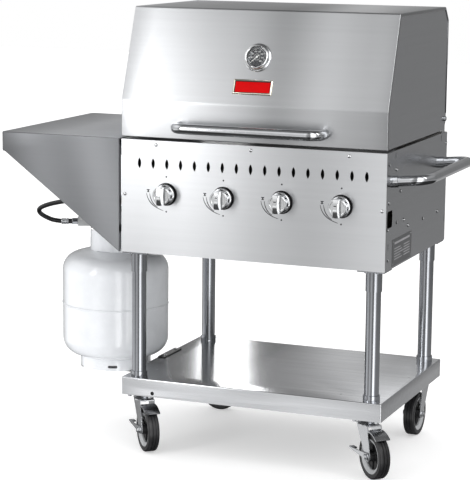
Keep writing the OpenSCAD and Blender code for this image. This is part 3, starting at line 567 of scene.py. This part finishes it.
def smooth_curve(name, points, radius, mat):
    """A round tube along a smooth line through the points, in the row frame."""
    data = bpy.data.curves.new(name, "CURVE")
    data.dimensions = "3D"
    data.bevel_depth = radius
    data.bevel_resolution = 6
    data.resolution_u = 6
    data.use_fill_caps = True
    line = data.splines.new("BEZIER")
    line.bezier_points.add(len(points) - 1)
    for i, p in enumerate(points):
        knot = line.bezier_points[i]
        before = points[max(i - 1, 0)]
        after = points[min(i + 1, len(points) - 1)]
        share = 1 / 6 if 0 < i < len(points) - 1 else 1 / 3
        knot.co = p
        knot.handle_left = p - (after - before) * share
        knot.handle_right = p + (after - before) * share
    data.materials.append(MATS[mat])
    return add_object(name, data)


def add_fittings():
    """At each end a crimped ferrule, a black sleeve and a hexagon nut on its own axis."""
    build = Build()
    outlet = Vector((math.cos(OUTLET_TURN), math.sin(OUTLET_TURN), 0))
    tank_end = facing(Vector((TANK_X, TANK_Y, OUTLET_Z)) + outlet * OUTLET_REACH, outlet)
    pipe_end = facing(HOSE_INLET, (-1, 0, 0))
    nut_l = 17
    chamfer = 1.2
    for place, nut_r, reach in ((tank_end, 10.0, 48), (pipe_end, 14.0, 42)):
        nut = hexagon(nut_r)
        small = [(0.93 * px, 0.93 * py) for px, py in nut]
        build.prism(small, 0, chamfer, "zinc", place, top=nut)
        build.prism(nut, chamfer, nut_l - chamfer, "zinc", place)
        build.prism(nut, nut_l - chamfer, nut_l, "zinc", place, top=small)
        sleeve = nut_l + 0.33 * (reach - nut_l)
        build.lathe([(0, nut_l), (7.2, nut_l), (7.2, sleeve), (0, sleeve)], "hose", 32, place)
        crimp = [(0, sleeve), (7.8, sleeve)]
        steps = 6
        for k in range(steps):
            a = sleeve + (reach - sleeve) * (k + 0.1) / steps
            b = sleeve + (reach - sleeve) * (k + 0.9) / steps
            crimp += [(8.6, a), (8.6, (a + b) / 2), (7.9, b - 0.2)]
        build.lathe(crimp + [(7.8, reach), (6.2, reach), (0, reach - 0.5)], "zinc", 32, place)
    return settle(build.done("crimped_fittings", crease=30), "hose_fittings")


def add_hose():
    points = [at(*p) for p in HOSE_ROUTE]
    hose = smooth_curve("rubber_hose", points, HOSE_D / 2, "hose")
    settle(hose, "gas_hose")
    fittings = add_fittings()


add_hose()


# ---- hood ----

SLOPE_OUT = -Vector(JOINTS["needle_turn"]["axis"]).normalized()
hood_lo, hood_hi = (near(p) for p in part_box("hood_skin"))
HOOD_T = 1.2
HOOD_LIP = 8
CREASE_Z = 987
SLOPE_RUN = 91
HOOD_HEM = 14
BACK_BEVEL = (33, 38)
HOOD_BACK_Z = 935.4
GAUGE_UP = 133
BADGE_X, BADGE_UP = -3, 51


def slope_place(x, s):
    """Local Z stands out of the hood's front slope, local X to the right, local Y up it."""
    rise = Vector((0, SLOPE_RUN, hood_hi.z - CREASE_Z)).normalized()
    origin = Vector((x, 0, CREASE_Z)) + rise * s
    return frame_at(at(*origin), SLOPE_OUT, (1, 0, 0))


def add_hood_skin():
    """One folded sheet over front, top and back, turned in round both side plates."""
    depth = hood_hi.y
    top = hood_hi.z
    bottom = hood_lo.z
    path = [(depth, HOOD_BACK_Z), (depth, top - BACK_BEVEL[1]), (depth - BACK_BEVEL[0], top),
            (SLOPE_RUN, top), (0, CREASE_Z), (0, bottom), (HOOD_HEM, bottom)]
    bends = [0, 8, 8, 7, 22, 2.5, 0]
    stations = [(HALF_W, HOOD_LIP), (HALF_W, 5)]
    corner = 2.2
    for k in range(5):
        turn = math.radians(90 * k / 4)
        stations.append((HALF_W - corner * (1 - math.cos(turn)), corner * (1 - math.sin(turn))))
    stations += [(HALF_W * f, 0) for f in (0.8, 0.4)]
    rows = []
    for x, lip in stations + [(-x, lip) for x, lip in reversed(stations)]:
        line = rounded(inset(path, lip), [max(b - lip, 0.02) if b else 0 for b in bends], 6)
        rows.append([(x, y, z) for y, z in line])
    made = Build()
    made.rows(rows, "steel_hood")
    piece = made.done("hood_sheet", crease=50)
    modifier(piece, "SOLIDIFY", thickness=HOOD_T * MM, offset=-1.0, use_even_offset=True)
    settle(piece, "hood_skin")


def add_gauge():
    """The thermometer: case, dial with numbers, needle and glass."""
    place = slope_place(0, GAUGE_UP)
    face = 7.0
    case = Build(place)
    outer = [(0, 0), (39.5, 0), (39.5, 1.6), (39.0, 3.2), (37.8, 4.6), (36.4, 5.2), (35.4, 5.6), (34.8, 6.6),
             (34.1, 9.4), (33.0, 12.0), (31.6, 13.5), (30.2, 14.0), (28.8, 13.4), (28.0, 12.0), (27.2, 8.4),
             (27.0, face), (0, face)]
    case.lathe(outer, "chrome", 96)
    case.lathe([(0, -60), (4.4, -60), (5, -59), (5, 0), (0, 0)], "chrome", 24)
    case.prism(hexagon(10), -8.2, -1.2, "zinc")
    settle(case.done("gauge_case", crease=38), "thermometer_case")

    dial = Build(place)
    dial.lathe([(0, face), (26.5, face), (26.5, face + 0.7), (26.2, face + 1.0), (0, face + 1.0)], "dial", 96)
    for k in range(28):
        long = k % 4 == 0
        half = 0.6 if long else 0.35
        bar = corners(20.4 if long else 22.0, 24.6, -half, half)
        dial.prism(bar, face + 0.9, face + 1.08, "white", spin(225 - 10 * k))
    for k in range(8):
        a = math.radians(225 - 38.6 * k)
        add_number(dial, str(50 + 50 * k), (15.6 * math.cos(a), 15.6 * math.sin(a)), 5.4, face + 1.0)
    dial.ring(corners(8.2, 8.8, face + 0.9, face + 1.07), "white", 48)
    settle(dial.done("gauge_dial"), "thermometer_dial")

    lift = 1.6
    needle = Build(place @ Matrix.Translation((0, 0, face)) @ spin(135))
    needle.lathe([(0, lift - 0.4), (1, lift - 0.4), (1, lift), (3, lift), (3, lift + 1.0), (2.4, lift + 1.4),
                  (0, lift + 1.4)], "white", 32)
    needle.prism([(-1.4, -7), (1.4, -7), (0.45, 20.8), (-0.45, 20.8)], lift, lift + 0.8, "white",
                 top=[(-0.9, -6.6), (0.9, -6.6), (0.15, 20.4), (-0.15, 20.4)])
    settle(needle.done("gauge_needle"), "thermometer_needle")

    glass = Build(place)
    low = face + 4.8
    glass_r = 26.8
    bulge = 1.6
    spread = math.radians(24)
    lens = [(glass_r * math.sin(spread * k / 6) / math.sin(spread),
             low + bulge * (math.cos(spread * k / 6) - math.cos(spread)) / (1 - math.cos(spread)))
            for k in range(6, -1, -1)]
    glass.lathe([(0, low - 0.001), (glass_r, low - 0.001)] + lens, "glass", 96)
    settle(glass.done("gauge_glass"), "thermometer_glass")


def add_number(build, text, spot, size, z):
    """Flat white numerals, centred on a spot of the dial."""
    data = bpy.data.curves.new("numerals", "FONT")
    data.body = text
    data.size = size
    data.align_x = "CENTER"
    data.align_y = "CENTER"
    data.extrude = 0.06
    data.resolution_u = 3
    written = bpy.data.objects.new("numerals", data)
    mesh = written.to_mesh()
    verts = [(v.co.x + spot[0], v.co.y + spot[1], v.co.z + z + 0.05) for v in mesh.vertices]
    build.add(verts, [list(p.vertices) for p in mesh.polygons], "white")
    written.to_mesh_clear()
    bpy.data.objects.remove(written)


def add_badge():
    """A blank enamel plate, slightly domed, in a bevelled frame, on dark plates that paint shade into the gap
    between frame and enamel.
    """
    half_x, half_y = 56, 21
    enamel_inset = 6.6

    def rim(dx):
        a, b = half_x - dx, half_y - dx
        return rounded(corners(-a, a, -b, b), max(1.2 - dx * 0.15, 0.3), 3, closed=True)

    build = Build(slope_place(BADGE_X, BADGE_UP))
    section = [(0, 0), (0, 1.4), (0.5, 2.1), (3.4, 3.9), (4.1, 4.0), (4.6, 3.6), (4.7, 1.2), (4.7, 0)]
    rows = [[(x, y, z) for x, y in rim(dx)] for dx, z in section + [section[0]]]
    build.rows(rows, "gilt", closed=True)
    steps = 12
    a, b = half_x - enamel_inset, half_y - enamel_inset
    grid = []
    for j in range(-steps, steps + 1):
        row = []
        for i in range(-steps, steps + 1):
            u, v = i / steps, j / steps
            edge = min(1 - abs(u), (1 - abs(v)) * b / a) * a
            lift = 1.4 + 0.4 * min(1, edge / 1.2) + 0.5 * (1 - u * u) * (1 - v * v)
            row.append((u * a, v * b, lift))
        grid.append(row)
    build.rows(grid, "enamel")
    # A dark plate under the enamel and a black one inside the frame: painted shade in the gap between frame and
    # enamel
    build.prism(corners(-a, a, -b, b), 0.0, 1.3, "mark")
    build.prism(rim(4.75), 0.0, 0.9, "black")
    settle(build.done("badge_plate", crease=30), "badge")


add_hood_skin()
soften("hood_sides", "steel_y", 0.4)
soften("hood_handle", "tube", 0.0, merge=0)
soften("hinge_brackets", "zinc", 0.8)
add_gauge()
add_badge()


# ---- cabinet ----

def add_screws():
    """Pan heads with a cross recess, one for each place on the sheets they hold."""
    head_r, edge, rise = 4.8, 0.4, 2.2
    head = Build(Matrix.Scale(MM, 4))
    angles = [math.radians(a) for a in range(0, 90, 15)]
    dome = [(head_r * math.cos(a), edge + rise * math.sin(a)) for a in angles] + [(0, edge + rise)]
    shank = [(0, -5), (1.6, -5), (2, -4.4), (2, 0), (head_r - 0.2, 0), (head_r, 0.2)]
    head.lathe(shank + dome, "screw", 32)
    solid = head.done("screw_head", crease=40)
    cutter = Build(Matrix.Scale(MM, 4))
    wide, long = 0.42, 2.3
    for turn in (0, 90):
        cutter.prism(corners(-long * 0.6, long * 0.6, -wide, wide), 1.4, 3.4, "screw", spin(turn),
                     top=corners(-long, long, -wide * 1.3, wide * 1.3))
    tool = cutter.done("screw_cutter")
    modifier(solid, "BOOLEAN", operation="DIFFERENCE", object=tool, use_self=True)
    shape = baked(solid)
    verts = [v.co / MM for v in shape.vertices]
    faces = [list(p.vertices) for p in shape.polygons]
    # The low outer faces are near black: painted shade that gives each head an outline
    rim = [f for f in faces if max(verts[i].z for i in f) < 1.6 and max(verts[i].x ** 2 for i in f) > 2]
    crown = [f for f in faces if f not in rim]
    for spare in (solid, tool):
        bpy.data.objects.remove(spare)

    flange_x = 370
    front = [(-277, 868), (0, 868), (277, 868), (-flange_x, 728), (flange_x, 728)]
    side = [(23, 847.5), (84, 829), (126, 767), (25, 746), (162.5, 684), (98, 686), (202.5, 663), (347, 661),
            (492, 660), (16, 677), (26, 594), (570, 848)]
    back = [(x, z) for x in (-flange_x, -120, 120, flange_x) for z in (620, 866)]
    depth = near(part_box("side_panel_right")[1]).y + SHEET
    shelf_top = near(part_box("lower_shelf")[1]).z
    spots = [((x, 0, z), (0, -1, 0)) for x, z in front] + [((x, depth, z), (0, 1, 0)) for x, z in back]
    spots += [((s * HALF_W, y, z), (s, 0, 0)) for s in (1, -1) for y, z in side]
    bracket_top = shelf_top + 3
    spots += [((-372, y, bracket_top), (0, 0, 1)) for y in (275, 357)]
    build = Build()
    for i, (spot, out) in enumerate(spots):
        turn = facing(spot, out) @ spin(37 * i % 90)
        build.add(verts, rim, "screw_painted_shade", turn)
        build.add(verts, crown, "screw", turn)
    settle(build.done("cross_head_screws", crease=30, weld=1e-8), "sheet_screws")


def add_rating_plate():
    """A riveted plate with plain raised bands where the printing would be."""
    lo, hi = (near(p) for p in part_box("rating_plate"))
    face = HALF_W + 0.8
    y0, y1, z0, z1 = lo.y, hi.y, lo.z, hi.z
    wide, high = y1 - y0, z1 - z0
    build = Build()
    # Local X, Y and Z are the grill's Y, Z and X
    stand = Matrix(((0, 0, 1, 0), (1, 0, 0, 0), (0, 1, 0, 0), (0, 0, 0, 1)))
    outline = rounded(corners(y0, y1, z0, z1), 2.5, 4, closed=True)
    build.prism(outline, HALF_W, face, "plate", stand)
    bands = [(0.10, 0.90, 0.80, 0.88)]
    bands += [(0.10, 0.42 + 0.08 * (k % 3), 0.62 - 0.10 * k, 0.655 - 0.10 * k) for k in range(5)]
    bands += [(0.58, 0.90, 0.62 - 0.10 * k, 0.655 - 0.10 * k) for k in range(5)]
    for a, b, c, d in bands:
        box = corners(y0 + a * wide, y0 + b * wide, z0 + c * high, z0 + d * high)
        build.prism(box, face - 0.05, face + 0.15, "plate_mark", stand)
    rivet = [(0, 0.0), (2.2, 0.0), (2.1, 0.35), (1.5, 0.65), (0.7, 0.78), (0, 0.8)]
    for y in (y0 + 6, y1 - 6):
        for z in (z0 + 6, z1 - 6):
            build.lathe(rivet, "screw", 20, stand @ Matrix.Translation((y, z, face)))
    settle(build.done("riveted_plate"), "rating_plate")


soften("front_panel", "steel_panel", 0.7, 3)
soften("side_panel_right", "steel_y", 0.5)
soften("side_panel_left", "steel_y", 0.5)
soften("back_panel", "steel_x", 0.5)
add_screws()
add_rating_plate()
soften("drip_pan", "pan", 0.5)
for node, mat, width in [("firebox_liner", "dark_steel", 0.3), ("manifold", "brass", 0.0),
                         ("gas_valves", "brass", 0.3), ("burners", "burner", 0.0),
                         ("heat_tents", "dark_steel", 0.3), ("cooking_grates", "grate", 0.0)]:
    soften(node, mat, width)
for number in range(1, 5):
    soften(f"valve_plug_{number}", "brass", 0.0)


# ---- knobs ----

KNOB_GAP = 6
DISC = 31
GRIP = 48


def grip_outline(half_end, half_waist, reach, steps=8):
    """A bar that is narrowest at its middle, with ends on a circle."""
    top = math.sqrt(reach ** 2 - half_end ** 2)
    side = [(half_waist + (half_end - half_waist) * (k / steps) ** 2, top * k / steps)
            for k in range(-steps, steps + 1)]
    swing = math.degrees(math.asin(half_end / reach))
    cap = arc((0, 0, reach), 90 - swing, 90 + swing, 6)[1:-1]
    right = side + cap
    return right + [(-x, -y) for x, y in right]


def add_knob(number):
    """A chromed knob on a black foot: knurled rim, marked cone, and a bowed grip across its disc."""
    joint = JOINTS[f"knob_turn_{number}"]
    x, _, z = near(joint["pos_m"])
    build = Build(frame_at(at(x, -KNOB_GAP, z), (0, -1, 0), (1, 0, 0)))
    build.lathe([(0, 0), (27.4, 0), (28.2, 0.8), (28.2, 6.0), (0, 6.0)], "black", 96)
    skirt = [(0, 5.8), (27.6, 5.8), (28.4, 6.4), (28.4, 8.6), (27.8, 9.4), (26.9, 9.8), (26.5, 10.6),
             (25.6, 28.6), (25.0, 30.2), (24.0, DISC), (20.5, DISC), (19.6, DISC - 0.7), (0, DISC - 0.7)]
    build.lathe(skirt, "knob", 96)
    ridge = [(28.0, -0.55), (28.7, -0.2), (28.7, 0.2), (28.0, 0.55)]
    for k in range(60):
        build.prism(ridge, 0.9, 5.6, "black", spin(6 * k))
    for centre in (-50, -4, 36, 82, 128, 172, 215):
        for k, wide in enumerate((1.1, 2.6, 1.1)):
            mark = corners(25.2, 26.8, -wide, wide)
            far = [(px - 0.66, py) for px, py in mark]
            build.prism(mark, 13, 26, "mark", spin(centre + 10 * (k - 1)), top=far)

    def level(half_end, half_waist, reach, height, bow):
        outline = grip_outline(half_end, half_waist, reach)
        return [(px, py, height - bow * (py / 25) ** 2) for px, py in outline]

    rows = [level(9.0, 6.4, 25.6, DISC - 2, 0), level(8.6, 6.0, 25.6, GRIP - 2.4, 5),
            level(8.2, 5.6, 25.2, GRIP - 0.9, 5), level(7.6, 5.0, 24.6, GRIP, 5)]
    rows += [[(px * f, py, pz) for px, py, pz in rows[3]] for f in (0.6, 0.2, 0.0)]
    build.rows(rows, "knob", closed=True)
    build.prism(corners(-3.6, 3.6, 6.4, 9.0), GRIP - 2, GRIP - 0.18, "mark")
    build.lathe([(0, -44), (2.6, -44), (3, -43.4), (3, 0), (0, 0)], "zinc", 24)
    settle(build.done(f"control_knob_{number}", crease=32), f"knob_{number}")


def knob_places():
    centres = [near(JOINTS[f"knob_turn_{number}"]["pos_m"]) for number in range(1, 5)]
    return [on_front(centre.x, 0, centre.z) for centre in centres]


def add_bezels():
    build = Build()
    profile = rounded(corners(8, 31.5, 0, 2), [0.1, 0.3, 0.9, 0.4], 4, closed=True)
    for place in knob_places():
        build.ring(profile, "black", 96, place)
    settle(build.done("bezel_rings"), "knob_bezels")


def ribbon(points, width):
    """The outline of a line of the given width, tapering to half of it at both ends."""
    lefts, rights = [], []
    last = len(points) - 1
    for i, p in enumerate(points):
        d = Vector(points[min(i + 1, last)]) - Vector(points[max(i - 1, 0)])
        n = Vector((-d.y, d.x)).normalized() * width / 2 * (0.5 + 0.5 * math.sin(math.pi * i / last))
        lefts.append(tuple(Vector(p) + n))
        rights.append(tuple(Vector(p) - n))
    return lefts + rights[::-1]


def bow(a, b, c, steps=14):
    """A smooth curve from a to c, pulled towards b."""
    return [tuple((1 - t) ** 2 * Vector(a) + 2 * t * (1 - t) * Vector(b) + t * t * Vector(c))
            for t in (k / steps for k in range(steps + 1))]


def add_panel_marks():
    """Plain marks round each knob: two dots, a pointed mark, and a double line that closes up."""
    build = Build()
    thick = 0.12
    pointer = [(-5.4, 4.2), (5.4, 4.2), (1.2, 0), (4.2, -3.6), (-4.2, -3.6), (-1.2, 0)]
    for face in knob_places():
        for y in (-48, 48):
            build.prism(arc((0, y, 2.4), 0, 330, 11), 0, thick, "mark", face)
        build.prism(pointer[::-1], 0, thick, "mark", face @ Matrix.Translation((-54, 6.6, 0)))
        build.prism(ribbon(bow((-59, 0), (-54, -34), (-9, -45.5)), 2.4), 0, thick, "mark", face)
        build.prism(ribbon(bow((-49.5, 0), (-47, -26), (-26, -37)), 2.4), 0, thick, "mark", face)
    piece = build.done("panel_marks", crease=30)
    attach(piece, BODY_OF["front_panel"])


for number in range(1, 5):
    add_knob(number)
add_bezels()
add_panel_marks()


# ---- side shelf and side handle ----

# The hooks' Y and Z, and how far they reach in past the face of the left side panel
HOOKS = [(77, 867), (515, 867), (563, 630), (24, 630)]
HOOK_REACH = 5.5


def add_side_shelf():
    """A tray open to the cabinet, whose front and back walls run down as gussets with rolled hems."""
    lo, hi = (near(p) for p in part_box("side_shelf"))
    x0, y0, y1 = lo.x, lo.y, hi.y
    x1 = -HALF_W - 5
    top = hi.z
    lip = 55
    hem = 15
    bend = 3.2
    corner = 10
    plan = [(x1, y1), (x0, y1), (x0, y0), (x1, y0)]

    def line(distance):
        r = max(corner - distance, 0.05)
        return rounded(inset(plan, distance), [0, r, r, 0], 6)

    def wall_bottom(x):
        share = min(max((x - x0 - corner) / (x1 - x0 - corner), 0), 1)
        return top - lip + (CAB_Z0 - top + lip) * share

    def bend_step(degrees):
        """How far a point of a quarter bend is from either sheet: bend and 0 at 0, 0 and bend at 90."""
        return [bend * (1 - part(math.radians(degrees))) for part in (math.sin, math.cos)]

    outer = line(0)
    rows = []
    for distance, rise in [(hem, 0), (6, 0)] + [bend_step(a) for a in (0, 30, 60, 90)]:
        rows.append([(px, py, wall_bottom(ox) + rise) for (ox, _), (px, py) in zip(outer, line(distance))])
    for a in (0, 22, 45, 68, 90):
        fall, distance = bend_step(a)
        rows.append([(px, py, top - fall) for px, py in line(distance)])
    build = Build()
    build.rows(rows, "side_shelf")
    # The top face takes a steel of its own, with brighter painted light than the gusset walls
    build.add(rows[-1], [list(range(len(outer)))], "side_top")
    piece = build.done("side_shelf_sheet", crease=50)
    modifier(piece, "SOLIDIFY", thickness=SHEET * MM, offset=-1.0, use_even_offset=True)

    # Flanges along the open side, a tab low on the front one, and the hooks
    inner = Build()
    face = x1 - SHEET
    for y, s in ((y0 + SHEET, 1), (y1 - SHEET, -1)):
        flange = corners(face, x1, y, y + s * hem)
        inner.prism(flange if s > 0 else flange[::-1], CAB_Z0 + 4, top - SHEET - 2, "side_shelf")
    inner.prism(corners(face, x1, y0 + 8, y1 - 8), top - 20, top - SHEET - 0.4, "side_shelf")
    inner.prism(corners(face, x1, y0 + SHEET + 1, 28), 620, 640, "side_shelf")
    # Local X, Y and Z are the grill's X, Z and Y
    stand = Matrix(((1, 0, 0, 0), (0, 0, 1, 0), (0, 1, 0, 0), (0, 0, 0, 1)))
    for y, z in HOOKS:
        hook = rounded(corners(face, HOOK_REACH - HALF_W, z - 6, z + 6), [0.3, 1.6, 1.6, 0.3], 3, closed=True)
        inner.prism(hook, y - 1.5, y + 1.5, "zinc", stand)
    flanges = inner.done("side_shelf_flanges", crease=30)
    round_edges(flanges, 0.4)
    settle(piece, "side_shelf")
    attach(flanges, BODY_OF["side_shelf"])


add_side_shelf()
soften("side_handle", "tube", 0.0, merge=0)


# ---- cart ----

DRAIN_X, DRAIN_Z = -286, 170.5
SHELF_HOLES = [(-323, 116), (-259, 66), (-330, 512), (-266, 563), (243, 552), (305, 495), (362, 318),
               (246, 62)]


def add_lower_shelf():
    """A folded pan, open below, with its drain and fixing holes, and a black disc under the drain as painted
    shade.
    """
    lo, hi = (near(p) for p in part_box("lower_shelf"))
    bend = 2.6
    drain_place = on_front(DRAIN_X, lo.y, DRAIN_Z)

    def line(distance):
        plan = corners(lo.x + distance, hi.x - distance, lo.y + distance, hi.y - distance)
        return rounded(plan, max(3.4 - distance, 0.1), 4, closed=True)

    rows = [[(x, y, z) for x, y in line(0)] for z in (lo.z, (lo.z + hi.z) / 2)]
    for angle in (0, 22, 45, 68, 90):
        s, c = math.sin(math.radians(angle)), math.cos(math.radians(angle))
        rows.append([(x, y, hi.z - bend * (1 - s)) for x, y in line(bend * (1 - c))])
    build = Build()
    build.rows(rows, "shelf", closed=True)
    # The top face takes a steel of its own, with other painted light than the rim
    build.add(rows[-1], [list(range(len(rows[-1])))], "shelf_top")
    piece = build.done("lower_shelf_pan", crease=50)
    modifier(piece, "SOLIDIFY", thickness=SHEET * MM, offset=-1.0, use_even_offset=True)
    cutter = Build()
    for x, y in SHELF_HOLES:
        cutter.lathe([(0, -8), (3, -8), (3, 8), (0, 8)], "shelf", 24, Matrix.Translation((x, y, hi.z)))
    cutter.lathe([(0, -6), (5.5, -6), (5.5, 6), (0, 6)], "shelf", 32, drain_place)
    tool = cutter.done("shelf_cutter")
    modifier(piece, "BOOLEAN", operation="DIFFERENCE", object=tool, solver="EXACT")
    mesh = baked(piece)
    piece.modifiers.clear()
    piece.data = mesh
    smooth_mesh(mesh, 40)
    bpy.data.objects.remove(tool)
    settle(piece, "lower_shelf")
    # A black disc just under the drain hole: painted shade, so that the hole looks dark
    plug = Build()
    plug.lathe([(0, -1.6), (7.5, -1.6), (7.5, -3.2), (0, -3.2)], "black", 32, drain_place)
    disc = plug.done("drain_painted_shade")
    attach(disc, BODY_OF["lower_shelf"])


add_lower_shelf()
soften("legs", "leg", 0.0)
soften("leg_sockets", "leg", 0.5)
soften("tank_bracket", "bracket", 0.5)


# ---- castors ----

WHEEL_W = 32


def axle_place(number):
    joint = JOINTS[f"wheel_spin_{number}"]
    return frame_at(Vector(joint["pos_m"]), joint["axis"], (0, 0, 1))


def add_wheel(number):
    """A moulded wheel: a pale rim sloping in to a deep black web, ribs and a hub."""
    build = Build(axle_place(number))
    half = WHEEL_W / 2 - 1
    face = [(48, half - 0.6), (47.4, half), (46.2, half), (45.2, half - 1.0), (38.6, half - 5.5),
            (37.6, half - 6.4), (37.2, 5)]
    rim = face + [(r, -z) for r, z in reversed(face)]
    build.ring(rim, "rim", 72)
    web = [(37.4, 4.4), (36.4, 3.6), (15.4, 3.6), (14.2, 4.6), (13.8, 8), (13.4, 18.4), (12.6, 19.1),
           (6.6, 19.1), (6.1, 18.6)]
    build.ring(web + [(r, -z) for r, z in reversed(web)], "hub", 72)
    rib = [(13, -1.3), (37.3, -1.0), (37.3, 1.0), (13, 1.3)]
    for k in range(6):
        for low in (-6.5, 3.5):
            build.prism(rib, low, low + 3, "hub", spin(60 * k))
    settle(build.done(f"wheel_{number}_moulding", crease=32), f"caster_wheel_{number}")


def add_tyre(number):
    """A rubber tread with two grooves and rounded shoulders."""
    radius = Vector(JOINTS[f"wheel_spin_{number}"]["pos_m"]).z / MM
    half = WHEEL_W / 2
    side = [(48.0, -half + 1.2), (49.4, -half), (53.0, -half), (53.8, -half + 0.9), (54.8, -half + 0.9),
            (55.6, -half)] + arc((radius - 5, -half + 5, 5), -80, -12, 5)
    groove = [(radius, -7.4), (radius, -5.6), (radius - 2.2, -5.1), (radius - 2.2, -3.5), (radius, -3.0)]
    left = side + groove
    profile = left + [(r, -z) for r, z in reversed(left)]
    build = Build(axle_place(number))
    build.ring(profile, "tyre", 96)
    settle(build.done(f"tyre_{number}_tread", crease=40), f"caster_tyre_{number}")


for number in range(1, 5):
    add_wheel(number)
    add_tyre(number)
    soften(f"caster_fork_{number}", "zinc", 0.9, 3)
soften("caster_plates", "zinc", 0.6)
for side in ("left", "right"):
    soften(f"brake_pedal_{side}", "zinc", 0.9, 3)


# ---- gas cylinder ----

SEAM_Z = 362


def add_seam():
    """The bead of weld round the cylinder's middle, and the joint below it."""
    build = Build(Matrix.Translation(at(TANK_X, TANK_Y, SEAM_Z)) @ Matrix.Scale(MM, 4))
    bead = [(154.6, 1.0), (156.5, 1.0), (157.1, 1.8), (157.1, 3.2), (156.5, 4.0), (154.6, 4.0)]
    build.ring(bead, "tank", 160)
    build.ring(corners(154.6, 155.35, -0.6, 0.8), "plate", 160)
    seam = build.done("cylinder_seam", crease=60)
    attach(seam, BODY_OF["tank_shell"])


soften("tank_shell", "tank", 0.0, crease=60)
add_seam()
soften("tank_collar", "tank", 0.9, 3)
soften("tank_foot_ring", "tank", 0.9, 3)
soften("tank_valve", "brass", 0.8)
soften("tank_handwheel", "green", 1.6, 3)
soften("gas_regulator", "regulator", 1.5, 3)


# ---- floor and light ----

def add_floor():
    """A pale floor, 28 metres square, that polished metal doesn't see."""
    build = Build(Matrix.Identity(4))
    build.add([(x, y, 0) for x, y in corners(-14, 14, -14, 14)], [[0, 1, 2, 3]], "white")
    floor = build.done("floor")
    pale = Paint("pale_floor", (0.93, 0.93, 0.93), 0.9)
    pale.tint(pale.noise((0.6, 0.6, 0.6), 2.0), (0.925, 0.925, 0.925), (0.935, 0.935, 0.935))
    pale.set("Emission Color", (1, 1, 1, 1))
    pale.set("Emission Strength", 0.42)
    floor.data.materials[0] = pale.mat
    floor.visible_glossy = False


def add_area(name, spot, target, size, strength):
    """A softbox: strength is its own brightness, whatever its size."""
    data = bpy.data.lights.new(name, "AREA")
    data.shape = "RECTANGLE"
    data.size, data.size_y = size
    data.energy = strength * math.pi * size[0] * size[1]
    lamp = add_object(name, data)
    lamp.location = at(*spot)
    lamp.rotation_euler = (at(*target) - lamp.location).to_track_quat("-Z", "Y").to_euler()
    lamp.visible_camera = False


# What polished metal sees round the studio: degrees anticlockwise from +X, and brightness
STUDIO = [(-180, 0.75), (-150, 0.80), (-134, 0.26), (-124, 0.40), (-114, 0.72), (-110, 0.56), (-106, 0.86),
          (-98, 0.78), (-88, 0.34), (-68, 0.22), (-60, 2.4), (-44, 2.4), (-28, 0.5), (-10, 0.3), (40, 0.28),
          (60, 0.23), (80, 0.25), (100, 0.26), (107, 0.34), (108.4, 0.95), (109.8, 0.26), (120, 0.28),
          (135, 0.18), (150, 0.12), (164, 0.6), (180, 0.75)]


def add_world():
    """White to the camera, a little darker to matt surfaces; reflections see the studio above."""
    world = bpy.data.worlds.new("studio")
    bpy.context.scene.world = world
    world.use_nodes = True
    world.node_tree.nodes.clear()
    sky = Nodes(world.node_tree)

    def graded(source, start, end, low, high):
        return sky.spread(source, low, high, start, end, "SMOOTHSTEP")

    def combine(operation, a, b):
        made = sky.node("ShaderNodeMath", operation=operation)
        for socket, value in zip(made.inputs, (a, b)):
            if isinstance(value, float):
                socket.default_value = value
            else:
                sky.link(value, socket)
        return made.outputs["Value"]

    place = sky.node("ShaderNodeTexCoord")
    split = sky.node("ShaderNodeSeparateXYZ")
    sky.link(place.outputs["Generated"], split.inputs["Vector"])
    x, y, z = split.outputs
    turn = combine("MULTIPLY_ADD", combine("ARCTAN2", y, x), 0.5 / math.pi)
    turn.node.inputs[2].default_value = 0.5
    round_about = sky.levels(turn, STUDIO)
    dark = graded(z, -0.42, -0.30, 0.08, 1.0)
    lit = graded(z, -0.17, -0.25, 1.0, 1.7)
    below = combine("MULTIPLY", dark, lit)
    ceiling = combine("MULTIPLY", graded(z, 0.2, 0.45, 1.0, 1.6), graded(z, 0.66, 0.92, 1.0, 0.2))
    seen = combine("MULTIPLY", combine("MULTIPLY", round_about, below), ceiling)
    path = sky.node("ShaderNodeLightPath")
    glossy = path.outputs["Is Glossy Ray"]
    matt = combine("MULTIPLY", combine("SUBTRACT", 1.0, glossy), 0.85)
    level = combine("MAXIMUM", combine("MULTIPLY_ADD", seen, glossy), path.outputs["Is Camera Ray"])
    add = level.node.inputs[0].links[0].from_node
    sky.link(matt, add.inputs[2])
    background = sky.node("ShaderNodeBackground")
    background.inputs["Color"].default_value = (1, 1, 1, 1)
    output = sky.node("ShaderNodeOutputWorld")
    sky.link(level, background.inputs["Strength"])
    sky.link(background.outputs["Background"], output.inputs["Surface"])


add_floor()
add_world()
add_area("key", (-2060, -3270, 1350), (-100, 100, 700), (0.75, 1.7), 6.0)
add_area("key_top", (-2080, -2950, 2880), (-300, 45, 1110), (0.3, 1.5), 3.5)
add_area("rim", (2500, -500, 2700), (520, 280, 860), (0.3, 2.2), 4.0)
add_area("strip", (-1090, 2480, 850), (-130, 140, 210), (0.2, 0.5), 7.0)
bpy.context.scene.view_settings.view_transform = "Standard"
